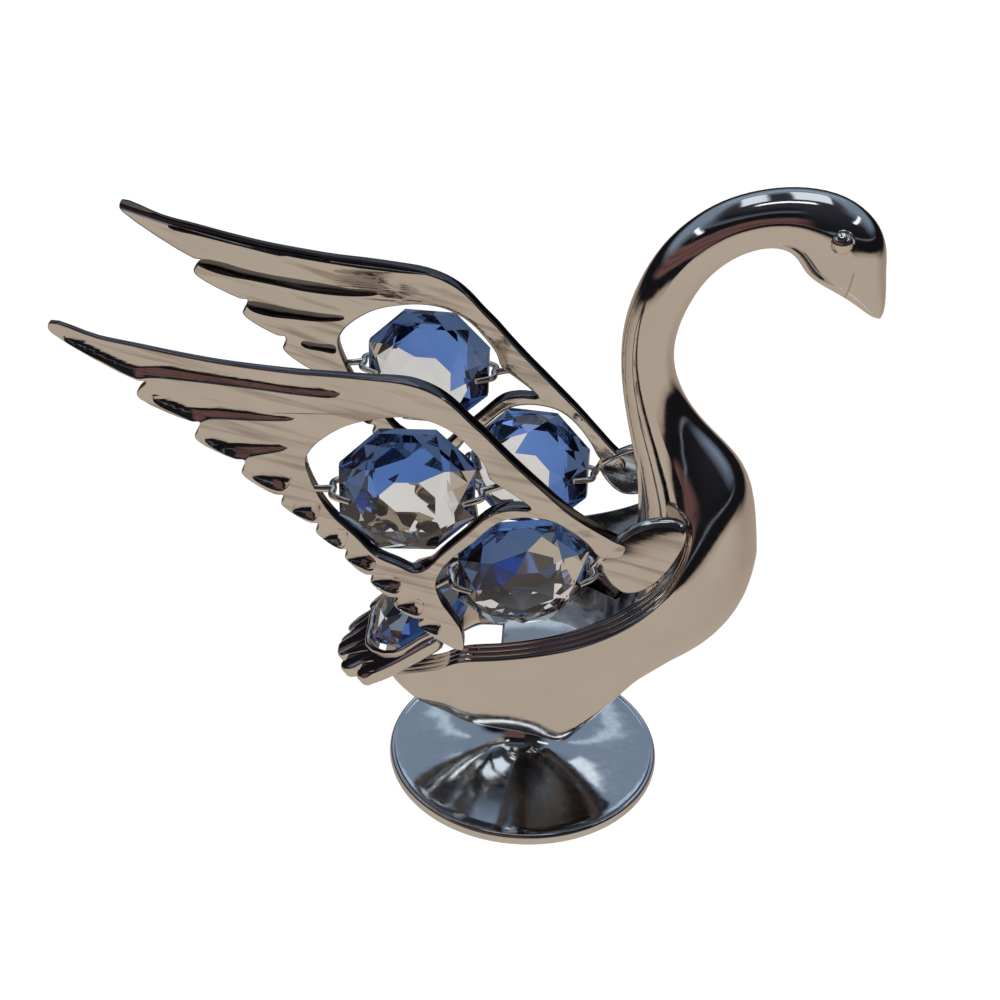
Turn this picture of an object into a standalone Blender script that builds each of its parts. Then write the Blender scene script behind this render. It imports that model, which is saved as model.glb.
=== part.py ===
"""Swan figurine: a plated casting on a turned foot, with two cast wings, a tail fan and five faceted stones.

Metres, +Z up, +X is the swan's forward and +Y its left. The origin is the centre of the foot's underside.
"""
import bmesh
import bpy
from math import cos, pi, radians, sin
from mathutils import Matrix, Vector

MM = 0.001

# Fits
GAP = 0.3 * MM            # clearance wherever two pieces touch

# Foot
FOOT_RADIUS = 15.9 * MM
FOOT_RIM_HEIGHT = 1.5 * MM
FOOT_RIM_STEP = 0.4 * MM  # the rim's rounded edge stands this far outside the trumpet
TRUMPET_HEIGHT = 9.0 * MM
STEM_RADIUS = 1.9 * MM
SOCKET_DEPTH = 1.8 * MM   # how far the stem enters the floor of the hull

# Hull: levels from the open bottom edge up to the rim
HULL_FRONT = 24.8 * MM
HULL_REAR = 16.8 * MM
HULL_HALF_WIDTH = 12.8 * MM
HULL_LEAN = 4.2 * MM      # the walls stand this much closer together at the bottom edge
HULL_WALL = 1.3 * MM
HULL_BOTTOM = 9.9 * MM    # height of the lowest tip of the bottom edge
RIM_HEIGHT = 23.0 * MM    # height of the rim's outer edge beside the feather ends
RIM_CHAMFER = 1.1 * MM    # the sloping band around the rim, inwards
RIM_RISE = 1.7 * MM       # and upwards
FLOOR_TOP = 19.5 * MM
FLOOR_THICKNESS = 3.0 * MM
FLOOR_REAR = -3.0 * MM
CAVITY_FRONT = 11.0 * MM

# Neck and head
NECK_RADIUS = 2.85 * MM
NECK_HEIGHT = 70.5 * MM   # centre line of the arch at its highest
EYE_RADIUS = 1.15 * MM
EYE_OFFSET = 2.95 * MM    # from the middle plane to the eye's centre
EYE_PLACE = 28.3 * MM     # X of the eyes
EYE_DROP = 1.0 * MM       # and their depth below the top of the centre line
BEAK_REACH = 34.0 * MM
BEAK_DROP = 10.7 * MM
SHOULDER_RISE = 14.6 * MM # the first ring of the neck above the rim's height
ARCH_DROP = 8.9 * MM      # the neck starts to arch this far below its highest point
NECK_FOLD = 1.0 * MM      # the back of the neck meets the hull's inside this far forward of its first ring

# Stones
STONE_ACROSS = 13.6 * MM  # flat to flat
STONE_THICKNESS = 6.4 * MM
STONE_GIRDLE = 1.0 * MM

# Wings
WING_THICKNESS = 1.8 * MM
WING_FLARE = 0.062        # the wing leans outwards by this share of its run to the rear
WING_PLANE = 11.5 * MM    # wing's middle plane from the object's middle plane, at X = 0
STRUT_TURN_START = 4.0 * MM
STRUT_TURN = 0.42         # inward turn of the wing's root, per length forward of the start
TAPER_START = 16.0 * MM   # behind this the wing gets thinner
WING_TAPER = 18.0         # share of the thickness lost per metre of the wing behind that
LOBE_PLANE = 12.7 * MM    # the root lobe's middle surface, where it would meet the rim's height
LOBE_LEAN = 0.22
LOBE_TURN = 0.1
EDGE_ROUND = 0.35 * MM
GROOVE_WIDTH = 1.7 * MM
GROOVE_DEPTH = 0.6 * MM
CLAW_RADIUS = 0.35 * MM

# Tail fan
TAIL_SLOPE = radians(36.0)
TAIL_START = -9.5 * MM    # X where the fan's middle plane starts
TAIL_DROP = 0.4 * MM      # and its depth there below the rim's height
TAIL_LENGTH = 15.0 * MM
FAN_HALF_WIDTH = 8.9 * MM
TAIL_DROOP = 1.8 * MM     # sideways droop of the fan's rear corners
TAIL_THICKNESS = 1.6 * MM
STONE_ALONG = 2.2 * MM     # from the start of the fan to the middle of its stone
STONE_PROUD = 0.9 * MM     # and how far that stands above the fan's middle surface
SEAT_WIDTH = 0.7 * MM
SEAT_HEIGHT = 0.7 * MM


def clear_scene():
    for item in list(bpy.data.objects):
        bpy.data.objects.remove(item, do_unlink=True)


def material(name, colour, roughness, metallic, transmission=0.0):
    made = bpy.data.materials.new(name)
    made.use_nodes = True
    shader = made.node_tree.nodes["Principled BSDF"]
    shader.inputs["Base Color"].default_value = (*colour, 1.0)
    shader.inputs["Roughness"].default_value = roughness
    shader.inputs["Metallic"].default_value = metallic
    shader.inputs["Transmission Weight"].default_value = transmission
    return made


def object_from(bm, name, finish=None, smooth_angle=40.0):
    bmesh.ops.recalc_face_normals(bm, faces=bm.faces)
    mesh = bpy.data.meshes.new(name)
    bm.to_mesh(mesh)
    bm.free()
    mesh.shade_smooth()
    mesh.set_sharp_from_angle(angle=radians(smooth_angle))
    made = bpy.data.objects.new(name, mesh)
    bpy.context.scene.collection.objects.link(made)
    if finish is not None:
        mesh.materials.append(finish)
    return made


def combine(target, tool, operation):
    """Apply one exact Boolean to the target and delete the tool."""
    step = target.modifiers.new("combine", "BOOLEAN")
    step.operation = operation
    step.solver = "EXACT"
    step.object = tool
    depsgraph = bpy.context.evaluated_depsgraph_get()
    result = bpy.data.meshes.new_from_object(target.evaluated_get(depsgraph))
    target.modifiers.clear()
    old = target.data
    target.data = result
    bpy.data.meshes.remove(old)
    bpy.data.objects.remove(tool, do_unlink=True)


def weld(target, distance=0.00002):
    bm = bmesh.new()
    bm.from_mesh(target.data)
    bmesh.ops.remove_doubles(bm, verts=bm.verts, dist=distance)
    bmesh.ops.dissolve_degenerate(bm, edges=bm.edges, dist=distance)
    bm.to_mesh(target.data)
    bm.free()


def smooth_path(points, steps, closed=False):
    """Points on a smooth curve through the given ones, so many steps to each stretch."""
    count = len(points)
    stretches = count if closed else count - 1
    path = []
    for i in range(stretches):
        corners = []
        for k in (i - 1, i, i + 1, i + 2):
            corners.append(Vector(points[k % count] if closed else points[min(max(k, 0), count - 1)]))
        a, b, c, d = corners
        for j in range(steps):
            t = j / steps
            path.append(0.5 * (2 * b + (c - a) * t + (2 * a - 5 * b + 4 * c - d) * t * t
                               + (3 * b - a - 3 * c + d) * t * t * t))
    if not closed:
        path.append(Vector(points[-1]))
    return path


def loft(bm, rings, close_ends=True):
    """Join closed rings of equal count by quads, and cap the first and the last."""
    rows = [[bm.verts.new(p) for p in ring] for ring in rings]
    count = len(rows[0])
    for low, high in zip(rows, rows[1:]):
        for i in range(count):
            j = (i + 1) % count
            bm.faces.new((low[i], low[j], high[j], high[i]))
    if close_ends:
        bm.faces.new(rows[0])
        bm.faces.new(rows[-1])
    return rows


# Foot


def foot_profile():
    """Half section of the foot, from the axis along the underside and up to the top of the stem."""
    inner = FOOT_RADIUS - FOOT_RIM_STEP
    rim = FOOT_RIM_HEIGHT
    top = FLOOR_TOP - FLOOR_THICKNESS + SOCKET_DEPTH - GAP
    points = [(0.0, 0.0), (FOOT_RADIUS - 0.25 * rim, 0.0), (FOOT_RADIUS, 0.25 * rim), (FOOT_RADIUS, 0.7 * rim),
              (FOOT_RADIUS - 0.3 * FOOT_RIM_STEP, 0.93 * rim), (inner, rim)]
    flare_steps = 9
    for i in range(flare_steps + 1):
        t = i / flare_steps
        radius = STEM_RADIUS + (inner - FOOT_RIM_STEP - STEM_RADIUS) * (1 - t) ** 2.6
        points.append((radius, rim * 0.86 + (TRUMPET_HEIGHT - rim * 0.86) * t ** 1.9))
    points += [(STEM_RADIUS, top), (0.0, top)]
    return points


def make_foot(finish):
    bm = bmesh.new()
    profile = [bm.verts.new((x, 0.0, z)) for x, z in foot_profile()]
    edges = [bm.edges.new(pair) for pair in zip(profile, profile[1:])]
    bmesh.ops.spin(bm, geom=profile + edges, cent=(0, 0, 0), axis=(0, 0, 1), angle=2 * pi, steps=40)
    bmesh.ops.remove_doubles(bm, verts=bm.verts, dist=0.00001)
    return object_from(bm, "foot", finish)


# Body

# Angles in plan of the hull's columns, from the breast's front line (90) to the stern (-90).
BREAST_ANGLES = (90, 78, 66, 54, 46, 38)
WALL_ANGLES = (38, 30, 22, 12, 0, -14, -28, -42, -54, -66, -78, -90)
RIM_END = 38


def blend_table(angle, stops):
    """Straight interpolation between (angle, value) stops, listed from high angles to low."""
    for (a0, v0), (a1, v1) in zip(stops, stops[1:]):
        if a0 >= angle >= a1:
            return v0 + (v1 - v0) * (a0 - angle) / (a0 - a1)
    return stops[-1][1]


# Half outline of the hull behind its middle, as shares of its rear length and half width.
REAR_OUTLINE = ((0, 0.0, 1.0), (-14, 0.25, 0.99), (-28, 0.45, 0.95), (-42, 0.56, 0.8), (-54, 0.69, 0.68),
                (-66, 0.82, 0.58), (-78, 0.93, 0.42), (-90, 1.0, 0.0))


# Half outline of the skirt's pointed front, as shares of its half width.
SKIRT_OUTLINE = ((90, 0.0), (54, 0.36), (38, 0.6), (30, 0.78), (22, 0.97), (0, 1.0))


def plan_point(angle, front, rear, half_width, pointed):
    """A point of the hull's outline in plan: a half ellipse in front, narrowing to the stern behind."""
    if angle >= 0:
        full = cos(radians(angle))
        narrow = blend_table(angle, SKIRT_OUTLINE)
        return front * sin(radians(angle)), half_width * max(full + (narrow - full) * pointed, 0.0)
    back = blend_table(angle, [(a, reach) for a, reach, _ in REAR_OUTLINE])
    width = blend_table(angle, [(a, share) for a, _, share in REAR_OUTLINE])
    return -rear * back, half_width * width


def hull_level(share):
    """Front reach, rear reach and half width of the hull at a share of the way up from its bottom edge."""
    fronts = (12.8 * MM, 20.2 * MM, 23.1 * MM, 24.6 * MM, HULL_FRONT)
    index = min(int(share * 4), 3)
    part = share * 4 - index
    front = fronts[index] + (fronts[index + 1] - fronts[index]) * part
    rear = HULL_REAR - 2.0 * MM * (1 - share) ** 2
    half_width = HULL_HALF_WIDTH - HULL_LEAN * (1 - share) ** 1.6
    return front, rear, half_width


def bottom_height(angle):
    tip = HULL_BOTTOM
    return blend_table(angle, ((90, tip + 4.7 * MM), (54, tip + 4.5 * MM), (38, tip + 2.9 * MM), (22, tip),
                               (0, tip + 1.0 * MM), (-28, tip + 1.6 * MM), (-66, tip + 1.2 * MM),
                               (-90, tip + 2.8 * MM)))


def rim_height(angle):
    rim = RIM_HEIGHT
    return blend_table(angle, ((90, rim + 8.6 * MM), (54, rim + 9.4 * MM), (38, rim + 9.2 * MM),
                               (30, rim + 6.2 * MM), (22, rim + 4.2 * MM), (12, rim + 2.4 * MM),
                               (0, rim + 1.2 * MM), (-14, rim + 0.4 * MM), (-28, rim - 0.2 * MM),
                               (-42, rim - 3.0 * MM), (-54, rim - 4.6 * MM), (-66, rim - 6.2 * MM),
                               (-78, rim - 7.6 * MM), (-90, rim - 8.6 * MM)))


def rim_inset(angle):
    """How far the rim's top edge lies inside its outer edge. It grows towards the front end."""
    return RIM_CHAMFER * (1.0 + 1.1 * max(0.0, angle) / RIM_END)


def hull_point(angle, share):
    front, rear, half_width = hull_level(share)
    x, y = plan_point(angle, front, rear, half_width, (1 - share) ** 3)
    low, high = bottom_height(angle), rim_height(angle)
    return Vector((x, y, low + (high - low) * share))


def rim_point(angle):
    outer = hull_point(angle, 1.0)
    inset = min(rim_inset(angle), outer.y)
    stern = RIM_CHAMFER * max(0.0, -sin(radians(angle)))
    return Vector((outer.x + stern, outer.y - inset, outer.z + RIM_RISE))


# Rising part of the neck: X in millimetres, share of the way up, and half depth and width as shares of the radius.
NECK_RISE = ((17.4, 0.0, 2.35, 2.5), (15.9, 0.146, 1.93, 1.93), (14.3, 0.267, 1.55, 1.5), (12.8, 0.392, 1.26, 1.24),
             (11.5, 0.533, 1.06, 1.06), (10.7, 0.683, 0.96, 0.98), (10.7, 0.842, 0.98, 0.98), (11.7, 1.0, 1.0, 1.0))
# Arch and head: X and depth below the highest point in millimetres, and the same shares.
NECK_ARCH = ((13.5, 5.1, 1.01, 1.0), (16.1, 2.4, 1.01, 1.0), (18.7, 0.8, 1.01, 1.0), (21.6, 0.0, 1.02, 1.0),
             (24.3, 0.0, 1.15, 1.06), (26.9, 0.9, 1.38, 1.14), (28.9, 2.8, 1.52, 1.18), (30.3, 4.6, 1.30, 1.06),
             (31.3, 6.2, 0.92, 0.86), (32.5, 8.0, 0.56, 0.56), (33.4, 9.7, 0.25, 0.26))


def neck_rings():
    """Centre X, centre Z, half depth and half width of each ring, from the shoulders up to the beak."""
    r = NECK_RADIUS
    low = RIM_HEIGHT + SHOULDER_RISE
    high = NECK_HEIGHT - ARCH_DROP
    rings = [(x * MM, low + (high - low) * share, depth * r, width * r) for x, share, depth, width in NECK_RISE]
    rings += [(x * MM, NECK_HEIGHT - down * MM, depth * r, width * r) for x, down, depth, width in NECK_ARCH]
    return rings


def neck_ring_points(index, rings, angles):
    """Half ring of points square to the neck's centre line, from its front line to its back line."""
    x, z, depth, width = rings[index]
    before = rings[max(index - 1, 0)]
    after = rings[min(index + 1, len(rings) - 1)]
    along = Vector((after[0] - before[0], 0, after[1] - before[1])).normalized()
    forward = Vector((along.z, 0, -along.x))
    centre = Vector((x, 0, z))
    side = Vector((0, 1, 0))
    return [centre + forward * depth * sin(radians(a)) + side * width * cos(radians(a)) for a in angles]


def body_skin():
    """Closed outer solid of the body: hull levels, breast, neck and head, straight across the top of the hull."""
    bm = bmesh.new()
    shares = (0.0, 0.2, 0.4, 0.6, 0.8, 1.0)
    columns = BREAST_ANGLES + WALL_ANGLES[1:]
    cache = {}

    def vert(point, side):
        y = 0.0 if abs(point[1]) < 1e-6 else point[1] * side
        key = (round(point[0], 7), round(y, 7), round(point[2], 7))
        if key not in cache:
            cache[key] = bm.verts.new((point[0], y, point[2]))
        return cache[key]

    def face(*corners):
        unique = list(dict.fromkeys(corners))
        if len(unique) > 2:
            bm.faces.new(unique)

    neck_angles = (90, 72, 54, 36, 18, 0)
    back_angles = (0, -22, -46, -68, -90)
    rings = neck_rings()
    for side in (1, -1):
        grid = [[vert(hull_point(a, s), side) for a in columns] for s in shares]
        for low, high in zip(grid, grid[1:]):
            for i in range(len(columns) - 1):
                face(low[i], low[i + 1], high[i + 1], high[i])
        rim = [vert(rim_point(a), side) for a in WALL_ANGLES]
        top = grid[-1][len(BREAST_ANGLES) - 1:]
        for i in range(len(rim) - 1):
            face(top[i], top[i + 1], rim[i + 1], rim[i])
        rows = [[vert(p, side) for p in neck_ring_points(k, rings, neck_angles + back_angles[1:])]
                for k in range(len(rings))]
        breast = grid[-1][:len(BREAST_ANGLES)]
        for i in range(len(breast) - 1):
            face(breast[i], breast[i + 1], rows[0][i + 1], rows[0][i])
        for low, high in zip(rows, rows[1:]):
            for i in range(len(low) - 1):
                face(low[i], low[i + 1], high[i + 1], high[i])
        tip = vert((BEAK_REACH, 0.0, NECK_HEIGHT - BEAK_DROP), 1)
        last = rows[-1]
        for i in range(len(last) - 1):
            face(last[i], last[i + 1], tip)
        side_start = len(neck_angles) - 1
        back = rows[0][side_start:]
        face(breast[-1], rim[0], back[0])
        fold = vert((back[-1].co.x + NECK_FOLD, 0.0, rim[0].co.z), 1)
        for i in range(len(back) - 1):
            face(rim[0], back[i + 1], back[i])
        face(rim[0], fold, back[-1])
    left, right = ([vert(rim_point(a), side) for a in WALL_ANGLES] for side in (1, -1))
    face(left[0], fold, right[0], right[1], left[1])
    for i in range(1, len(left) - 1):
        face(left[i], left[i + 1], right[i + 1], right[i])
    low_left = [vert(hull_point(a, 0.0), 1) for a in columns]
    low_right = [vert(hull_point(a, 0.0), -1) for a in columns]
    for i in range(len(columns) - 1):
        face(low_left[i], low_left[i + 1], low_right[i + 1], low_right[i])
    return object_from(bm, "body_skin")


def cavity(share_points, name):
    """A cutter for the inside of the hull, its walls one wall thickness inside the outer skin."""
    bm = bmesh.new()
    angles = (30, 22, 12, 0, -14, -28, -42, -54, -66, -78, -90)
    rings = []
    for share, lift in share_points:
        half = []
        for a in angles:
            p = hull_point(a, share)
            inward = HULL_WALL / HULL_HALF_WIDTH
            x = min(p.x * (1 - 1.2 * inward), CAVITY_FRONT)
            half.append(Vector((x, p.y * (1 - inward) if a > -90 else 0.0, p.z + lift)))
        other = [Vector((p.x, -p.y, p.z)) for p in reversed(half[:-1])]
        rings.append(half + other)
    loft(bm, rings)
    return object_from(bm, name)


def floor_slab():
    """The bridge between the hull's walls that the stem is fixed in, its edges sunk in the walls."""
    bm = bmesh.new()
    rings = []
    for z in (FLOOR_TOP - FLOOR_THICKNESS, FLOOR_TOP):
        share = (z - HULL_BOTTOM) / (RIM_HEIGHT + 1.0 * MM - HULL_BOTTOM)
        _, _, half_width = hull_level(share)
        y = half_width - 0.6 * HULL_WALL
        front = CAVITY_FRONT + 0.4 * MM
        half = [(FLOOR_REAR, y), (0.25 * front, y * 0.96), (0.62 * front, y * 0.74), (front, y * 0.42)]
        rings.append([(x, -w, z) for x, w in half] + [(x, w, z) for x, w in reversed(half)])
    loft(bm, rings)
    return object_from(bm, "floor_slab")


def cylinder(name, radius, start, end, sides=24):
    start, end = Vector(start), Vector(end)
    bm = bmesh.new()
    length = (end - start).length
    bmesh.ops.create_cone(bm, cap_ends=True, segments=sides, radius1=radius, radius2=radius, depth=length)
    turn = Vector((0, 0, 1)).rotation_difference((end - start).normalized()).to_matrix().to_4x4()
    bmesh.ops.transform(bm, matrix=Matrix.Translation((start + end) / 2) @ turn, verts=bm.verts)
    return object_from(bm, name)


def ball(name, radius, centre, scale=(1, 1, 1)):
    bm = bmesh.new()
    bmesh.ops.create_uvsphere(bm, u_segments=14, v_segments=8, radius=radius)
    bmesh.ops.transform(bm, matrix=Matrix.Translation(centre) @ Matrix.Diagonal((*scale, 1)), verts=bm.verts)
    return object_from(bm, name)


def make_body(finish):
    body = body_skin()
    body.name = "body"
    body.data.materials.append(finish)
    combine(body, cavity(((0.0, -4.0 * MM), (0.0, 0.0), (0.35, 0.0), (0.7, 0.0), (1.0, 0.0), (1.0, 12.0 * MM)),
                         "cavity_cutter"), "DIFFERENCE")
    combine(body, floor_slab(), "UNION")
    floor_low = FLOOR_TOP - FLOOR_THICKNESS
    combine(body, cylinder("socket_cutter", STEM_RADIUS + GAP, (0, 0, floor_low - 4 * MM),
                           (0, 0, floor_low + SOCKET_DEPTH)), "DIFFERENCE")
    for side in (1, -1):
        combine(body, ball("eye", EYE_RADIUS, (EYE_PLACE, side * EYE_OFFSET, NECK_HEIGHT - EYE_DROP)), "UNION")
    weld(body)
    return body


# Wings


def wing_offset(x):
    """Distance of the wing's middle plane from the object's middle plane."""
    turned = max(0.0, x - STRUT_TURN_START) * STRUT_TURN
    return WING_PLANE - WING_FLARE * x - turned


# Outlines of the wing in millimetres: X, and height above RIM_HEIGHT. Feather tips and notches come in turn.
FEATHER_TIPS = ((-46.8, 39.0), (-39.0, 32.1), (-33.7, 27.5), (-29.3, 23.5), (-25.5, 20.0), (-22.1, 16.7),
                (-19.2, 13.6), (-16.6, 10.6), (-14.2, 7.8), (-11.6, 5.2), (-9.6, 2.2))
FEATHER_NOTCHES = ((-38.0, 33.5), (-33.1, 29.1), (-29.0, 24.9), (-25.2, 20.9), (-21.8, 17.6),
                   (-18.9, 14.5), (-16.3, 11.4), (-13.8, 8.6), (-11.2, 5.9))
INNER_EDGE = ((-6.9, 1.75), (-7.0, 4.2), (-8.2, 6.6), (-9.4, 8.6), (-9.8, 10.6), (-8.6, 13.2),
              (-6.2, 15.6), (-3.7, 18.1), (-1.8, 18.8), (0.6, 18.8), (2.3, 18.3), (4.2, 16.9), (5.8, 15.1),
              (7.2, 13.2))
LEADING_EDGE = ((9.8, 12.9), (9.6, 14.1), (8.4, 15.1), (6.7, 16.6), (4.5, 18.6), (2.7, 20.3), (0.4, 22.6),
                (-1.6, 24.6), (-3.5, 26.6), (-5.1, 28.4), (-6.8, 30.1), (-8.3, 31.7), (-9.8, 32.9),
                (-11.7, 33.8), (-13.7, 34.3), (-15.6, 34.5), (-19.5, 34.8), (-23.3, 35.0), (-27.2, 35.4),
                (-31.0, 35.9), (-34.8, 36.6), (-38.5, 37.4), (-42.2, 38.2), (-46.4, 39.6))
UPPER_HOLE = ((-22.9, 24.9), (-22.3, 26.4), (-20.8, 27.9), (-18.7, 29.2), (-16.0, 30.0), (-13.5, 30.3),
              (-11.0, 30.0), (-8.4, 28.7), (-6.6, 26.9), (-5.2, 25.0), (-4.6, 23.4), (-3.0, 22.2),
              (-1.4, 21.0), (-0.4, 20.0), (-2.4, 19.9), (-4.3, 19.3), (-7.0, 16.6), (-9.4, 14.1),
              (-11.0, 12.3), (-12.1, 12.0), (-13.7, 12.8), (-16.0, 14.0), (-18.1, 16.4), (-20.4, 18.9),
              (-22.0, 21.8))
ROOT_LOBE = ((7.0, 12.6), (9.3, 15.2), (12.4, 16.6), (15.4, 16.3), (16.0, 15.0), (15.2, 12.6),
             (13.6, 10.2), (11.6, 8.8), (9.8, 8.7), (8.2, 10.0))


def wing_outline():
    """The closed outer outline of a wing: along the feather ends, round the openings and back along the top."""
    points = []
    for tip, notch in zip(FEATHER_TIPS, FEATHER_NOTCHES + (FEATHER_TIPS[-1],)):
        points.append(tip)
        if notch is not FEATHER_TIPS[-1]:
            points.append((0.45 * tip[0] + 0.55 * notch[0], 0.6 * tip[1] + 0.4 * notch[1] - 0.5))
            points.append(notch)
    return points + [FEATHER_TIPS[-1], *INNER_EDGE, *LEADING_EDGE]


def flat_plate(name, outline, holes, thickness, rounding):
    """A plate from closed outlines in millimetres, flat in X and Z, with rounded edges."""
    curve = bpy.data.curves.new(name, "CURVE")
    curve.dimensions = "2D"
    curve.fill_mode = "BOTH"
    curve.extrude = thickness / 2 - rounding
    curve.bevel_depth = rounding
    curve.bevel_resolution = 1
    curve.offset = -rounding
    for loop in (outline, *holes):
        spline = curve.splines.new("POLY")
        spline.points.add(len(loop) - 1)
        for point, (x, z) in zip(spline.points, loop):
            point.co = (x * MM, z * MM, 0, 1)
        spline.use_cyclic_u = True
    holder = bpy.data.objects.new(name, curve)
    bpy.context.scene.collection.objects.link(holder)
    depsgraph = bpy.context.evaluated_depsgraph_get()
    mesh = bpy.data.meshes.new_from_object(holder.evaluated_get(depsgraph))
    bpy.data.objects.remove(holder, do_unlink=True)
    bm = bmesh.new()
    bm.from_mesh(mesh)
    bpy.data.meshes.remove(mesh)
    bmesh.ops.remove_doubles(bm, verts=bm.verts, dist=0.00001)
    for v in bm.verts:
        v.co = Vector((v.co.x, v.co.z, v.co.y))
    return object_from(bm, name)


def place_in_wing(target, side, offset):
    """Move a plate from the flat to its curved place at the side of the hull, thinner towards the wing's tip."""
    for v in target.data.vertices:
        thin = WING_TAPER * max(0.0, -v.co.x - TAPER_START)
        v.co.y = side * (offset(v.co.x, v.co.z) + v.co.y * (1.0 - thin))
        v.co.z += RIM_HEIGHT


def lobe_offset(x, height):
    """The root lobe leans inwards at the top and forwards, along the shoulder of the body."""
    return LOBE_PLANE - LOBE_LEAN * height - LOBE_TURN * x


# Scooped grooves between the feathers: long ones as paths, short oval ones as start and end.
GROOVES = (((-44.6, 37.3), (-38.1, 34.4), (-30.0, 33.0), (-20.0, 31.9)),
           ((-37.4, 31.5), (-31.0, 30.3), (-24.0, 29.4)),
           ((-32.4, 27.0), (-28.6, 26.4), (-24.8, 26.0)),
           ((-28.1, 22.9), (-26.2, 22.4), (-24.3, 22.0)),
           ((-23.8, 19.0), (-22.6, 18.8), (-21.4, 18.6)),
           ((-21.2, 15.9), (-20.2, 15.6), (-19.2, 15.4)),
           ((-18.5, 13.0), (-17.5, 12.7), (-16.5, 12.5)),
           ((-15.9, 10.2), (-15.0, 9.9), (-14.1, 9.6)),
           ((-13.4, 7.5), (-12.5, 7.2), (-11.6, 6.9)),
           ((-11.0, 4.9), (-10.2, 4.6), (-9.4, 4.3)))


def groove_cutter(path, face):
    """A tapered bar along the groove, its lower half sunk in one face of the flat wing."""
    line = smooth_path([(x * MM, 0.0, z * MM) for x, z in path], 2)
    bm = bmesh.new()
    rings = []
    sides = 8
    for i, p in enumerate(line):
        share = 0.25 + 0.75 * sin(pi * (i + 0.25) / (len(line) - 0.5))
        along = (line[min(i + 1, len(line) - 1)] - line[max(i - 1, 0)]).normalized()
        across = Vector((-along.z, 0, along.x)) * GROOVE_WIDTH / 2 * share
        out = Vector((0, face, 0)) * GROOVE_DEPTH * share
        centre = p + Vector((0, face * (WING_THICKNESS / 2 + 0.1 * GROOVE_DEPTH), 0))
        rings.append([centre + across * cos(2 * pi * k / sides) + out * sin(2 * pi * k / sides)
                      for k in range(sides)])
    loft(bm, rings)
    return object_from(bm, "groove")


def tube(name, path, radius, sides=6):
    """A closed round bar along a short path of points."""
    bm = bmesh.new()
    points = [Vector(p) for p in path]
    rings = []
    for i, p in enumerate(points):
        along = (points[min(i + 1, len(points) - 1)] - points[max(i - 1, 0)]).normalized()
        across = along.cross(Vector((0, 0, 1))).normalized()
        other = along.cross(across)
        rings.append([p + radius * (across * cos(2 * pi * k / sides) + other * sin(2 * pi * k / sides))
                      for k in range(sides)])
    loft(bm, rings)
    return object_from(bm, name)


# Stones


class Stone:
    """Place of one stone: its centre, the outward normal of its face and the direction across it."""

    def __init__(self, name, centre, normal, across):
        self.name = name
        self.centre = Vector(centre)
        self.normal = Vector(normal).normalized()
        self.across = (Vector(across) - self.normal * Vector(across).dot(self.normal)).normalized()
        self.upward = self.normal.cross(self.across)

    def point(self, across, upward, outward):
        return self.centre + self.across * across + self.upward * upward + self.normal * outward


def wing_stone(name, x, height, side, outwards, turn, tilt):
    """A stone held in a wing. Turn faces it forwards and tilt faces it upwards."""
    normal = (sin(turn) * cos(tilt), side * cos(turn) * cos(tilt), sin(tilt))
    return Stone(name, (x, side * (wing_offset(x) + outwards), RIM_HEIGHT + height), normal, (1, 0, 0))


def octagon(across, turn):
    corner = across / 2 / cos(pi / 8)
    return [(corner * cos(turn + i * pi / 4), corner * sin(turn + i * pi / 4)) for i in range(8)]


def make_stone(stone, finish):
    """An octagonal stone cut alike on both faces: girdle, two rows of facets and a table."""
    bm = bmesh.new()
    girdle, top = STONE_GIRDLE / 2, STONE_THICKNESS / 2
    outer = octagon(STONE_ACROSS, pi / 8)
    middle = octagon(STONE_ACROSS * 0.66, 0.0)
    table = octagon(STONE_ACROSS * 0.4, pi / 8)

    def ring(flat_points, height):
        return [bm.verts.new(stone.point(a, u, height)) for a, u in flat_points]

    waist = [ring(outer, -girdle), ring(outer, girdle)]
    for i in range(8):
        j = (i + 1) % 8
        bm.faces.new((waist[0][i], waist[0][j], waist[1][j], waist[1][i]))
    for face, rim in ((-1, waist[0]), (1, waist[1])):
        mid = ring(middle, face * (girdle + 0.68 * (top - girdle)))
        flat = ring(table, face * top)
        for i in range(8):
            j = (i + 1) % 8
            bm.faces.new((rim[i], rim[j], mid[j]))
            bm.faces.new((rim[i], mid[j], mid[i]))
            bm.faces.new((mid[i], mid[j], flat[i]))
            bm.faces.new((flat[i], mid[j], flat[j]))
        bm.faces.new(flat)
    return object_from(bm, stone.name, finish, smooth_angle=1.0)


def claw(stone, end, side, root):
    """A clip over the stone's edge, bent round it, on a bar from the wing."""
    edge = STONE_ACROSS / 2
    lift = STONE_GIRDLE / 2 + GAP + CLAW_RADIUS
    bend = []
    for face in (-1, 1):
        knee = stone.point(end * (edge + GAP + CLAW_RADIUS), 0, face * lift)
        tip = stone.point(end * (edge - 1.3 * MM), 0, face * (lift + 1.5 * MM))
        bend.append((knee, tip))
    clip = tube("clip", (bend[0][1], bend[0][0], bend[1][0], bend[1][1]), CLAW_RADIUS)
    x = root[0] * MM
    start = Vector((x, side * wing_offset(x), root[1] * MM + RIM_HEIGHT))
    combine(clip, tube("bar", (start, stone.point(end * (edge + GAP + CLAW_RADIUS), 0, 0)), 0.9 * CLAW_RADIUS),
            "UNION")
    return clip


def stones(side, word):
    upper = wing_stone("crystal_%s_upper" % word, -12.8 * MM, 21.9 * MM, side, 0.7 * MM, WING_FLARE, 0.0)
    lower = wing_stone("crystal_%s_lower" % word, -0.9 * MM, 10.9 * MM, side, -1.0 * MM, radians(10),
                       radians(-8))
    return upper, lower


# Roots of the claws at the rear and front edges of the upper and the lower stone: X, and height above RIM_HEIGHT.
CLAW_ROOTS = (((-23.3, 21.6), (-2.2, 22.9)), ((-11.0, 9.2), (7.7, 13.5)))


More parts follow.
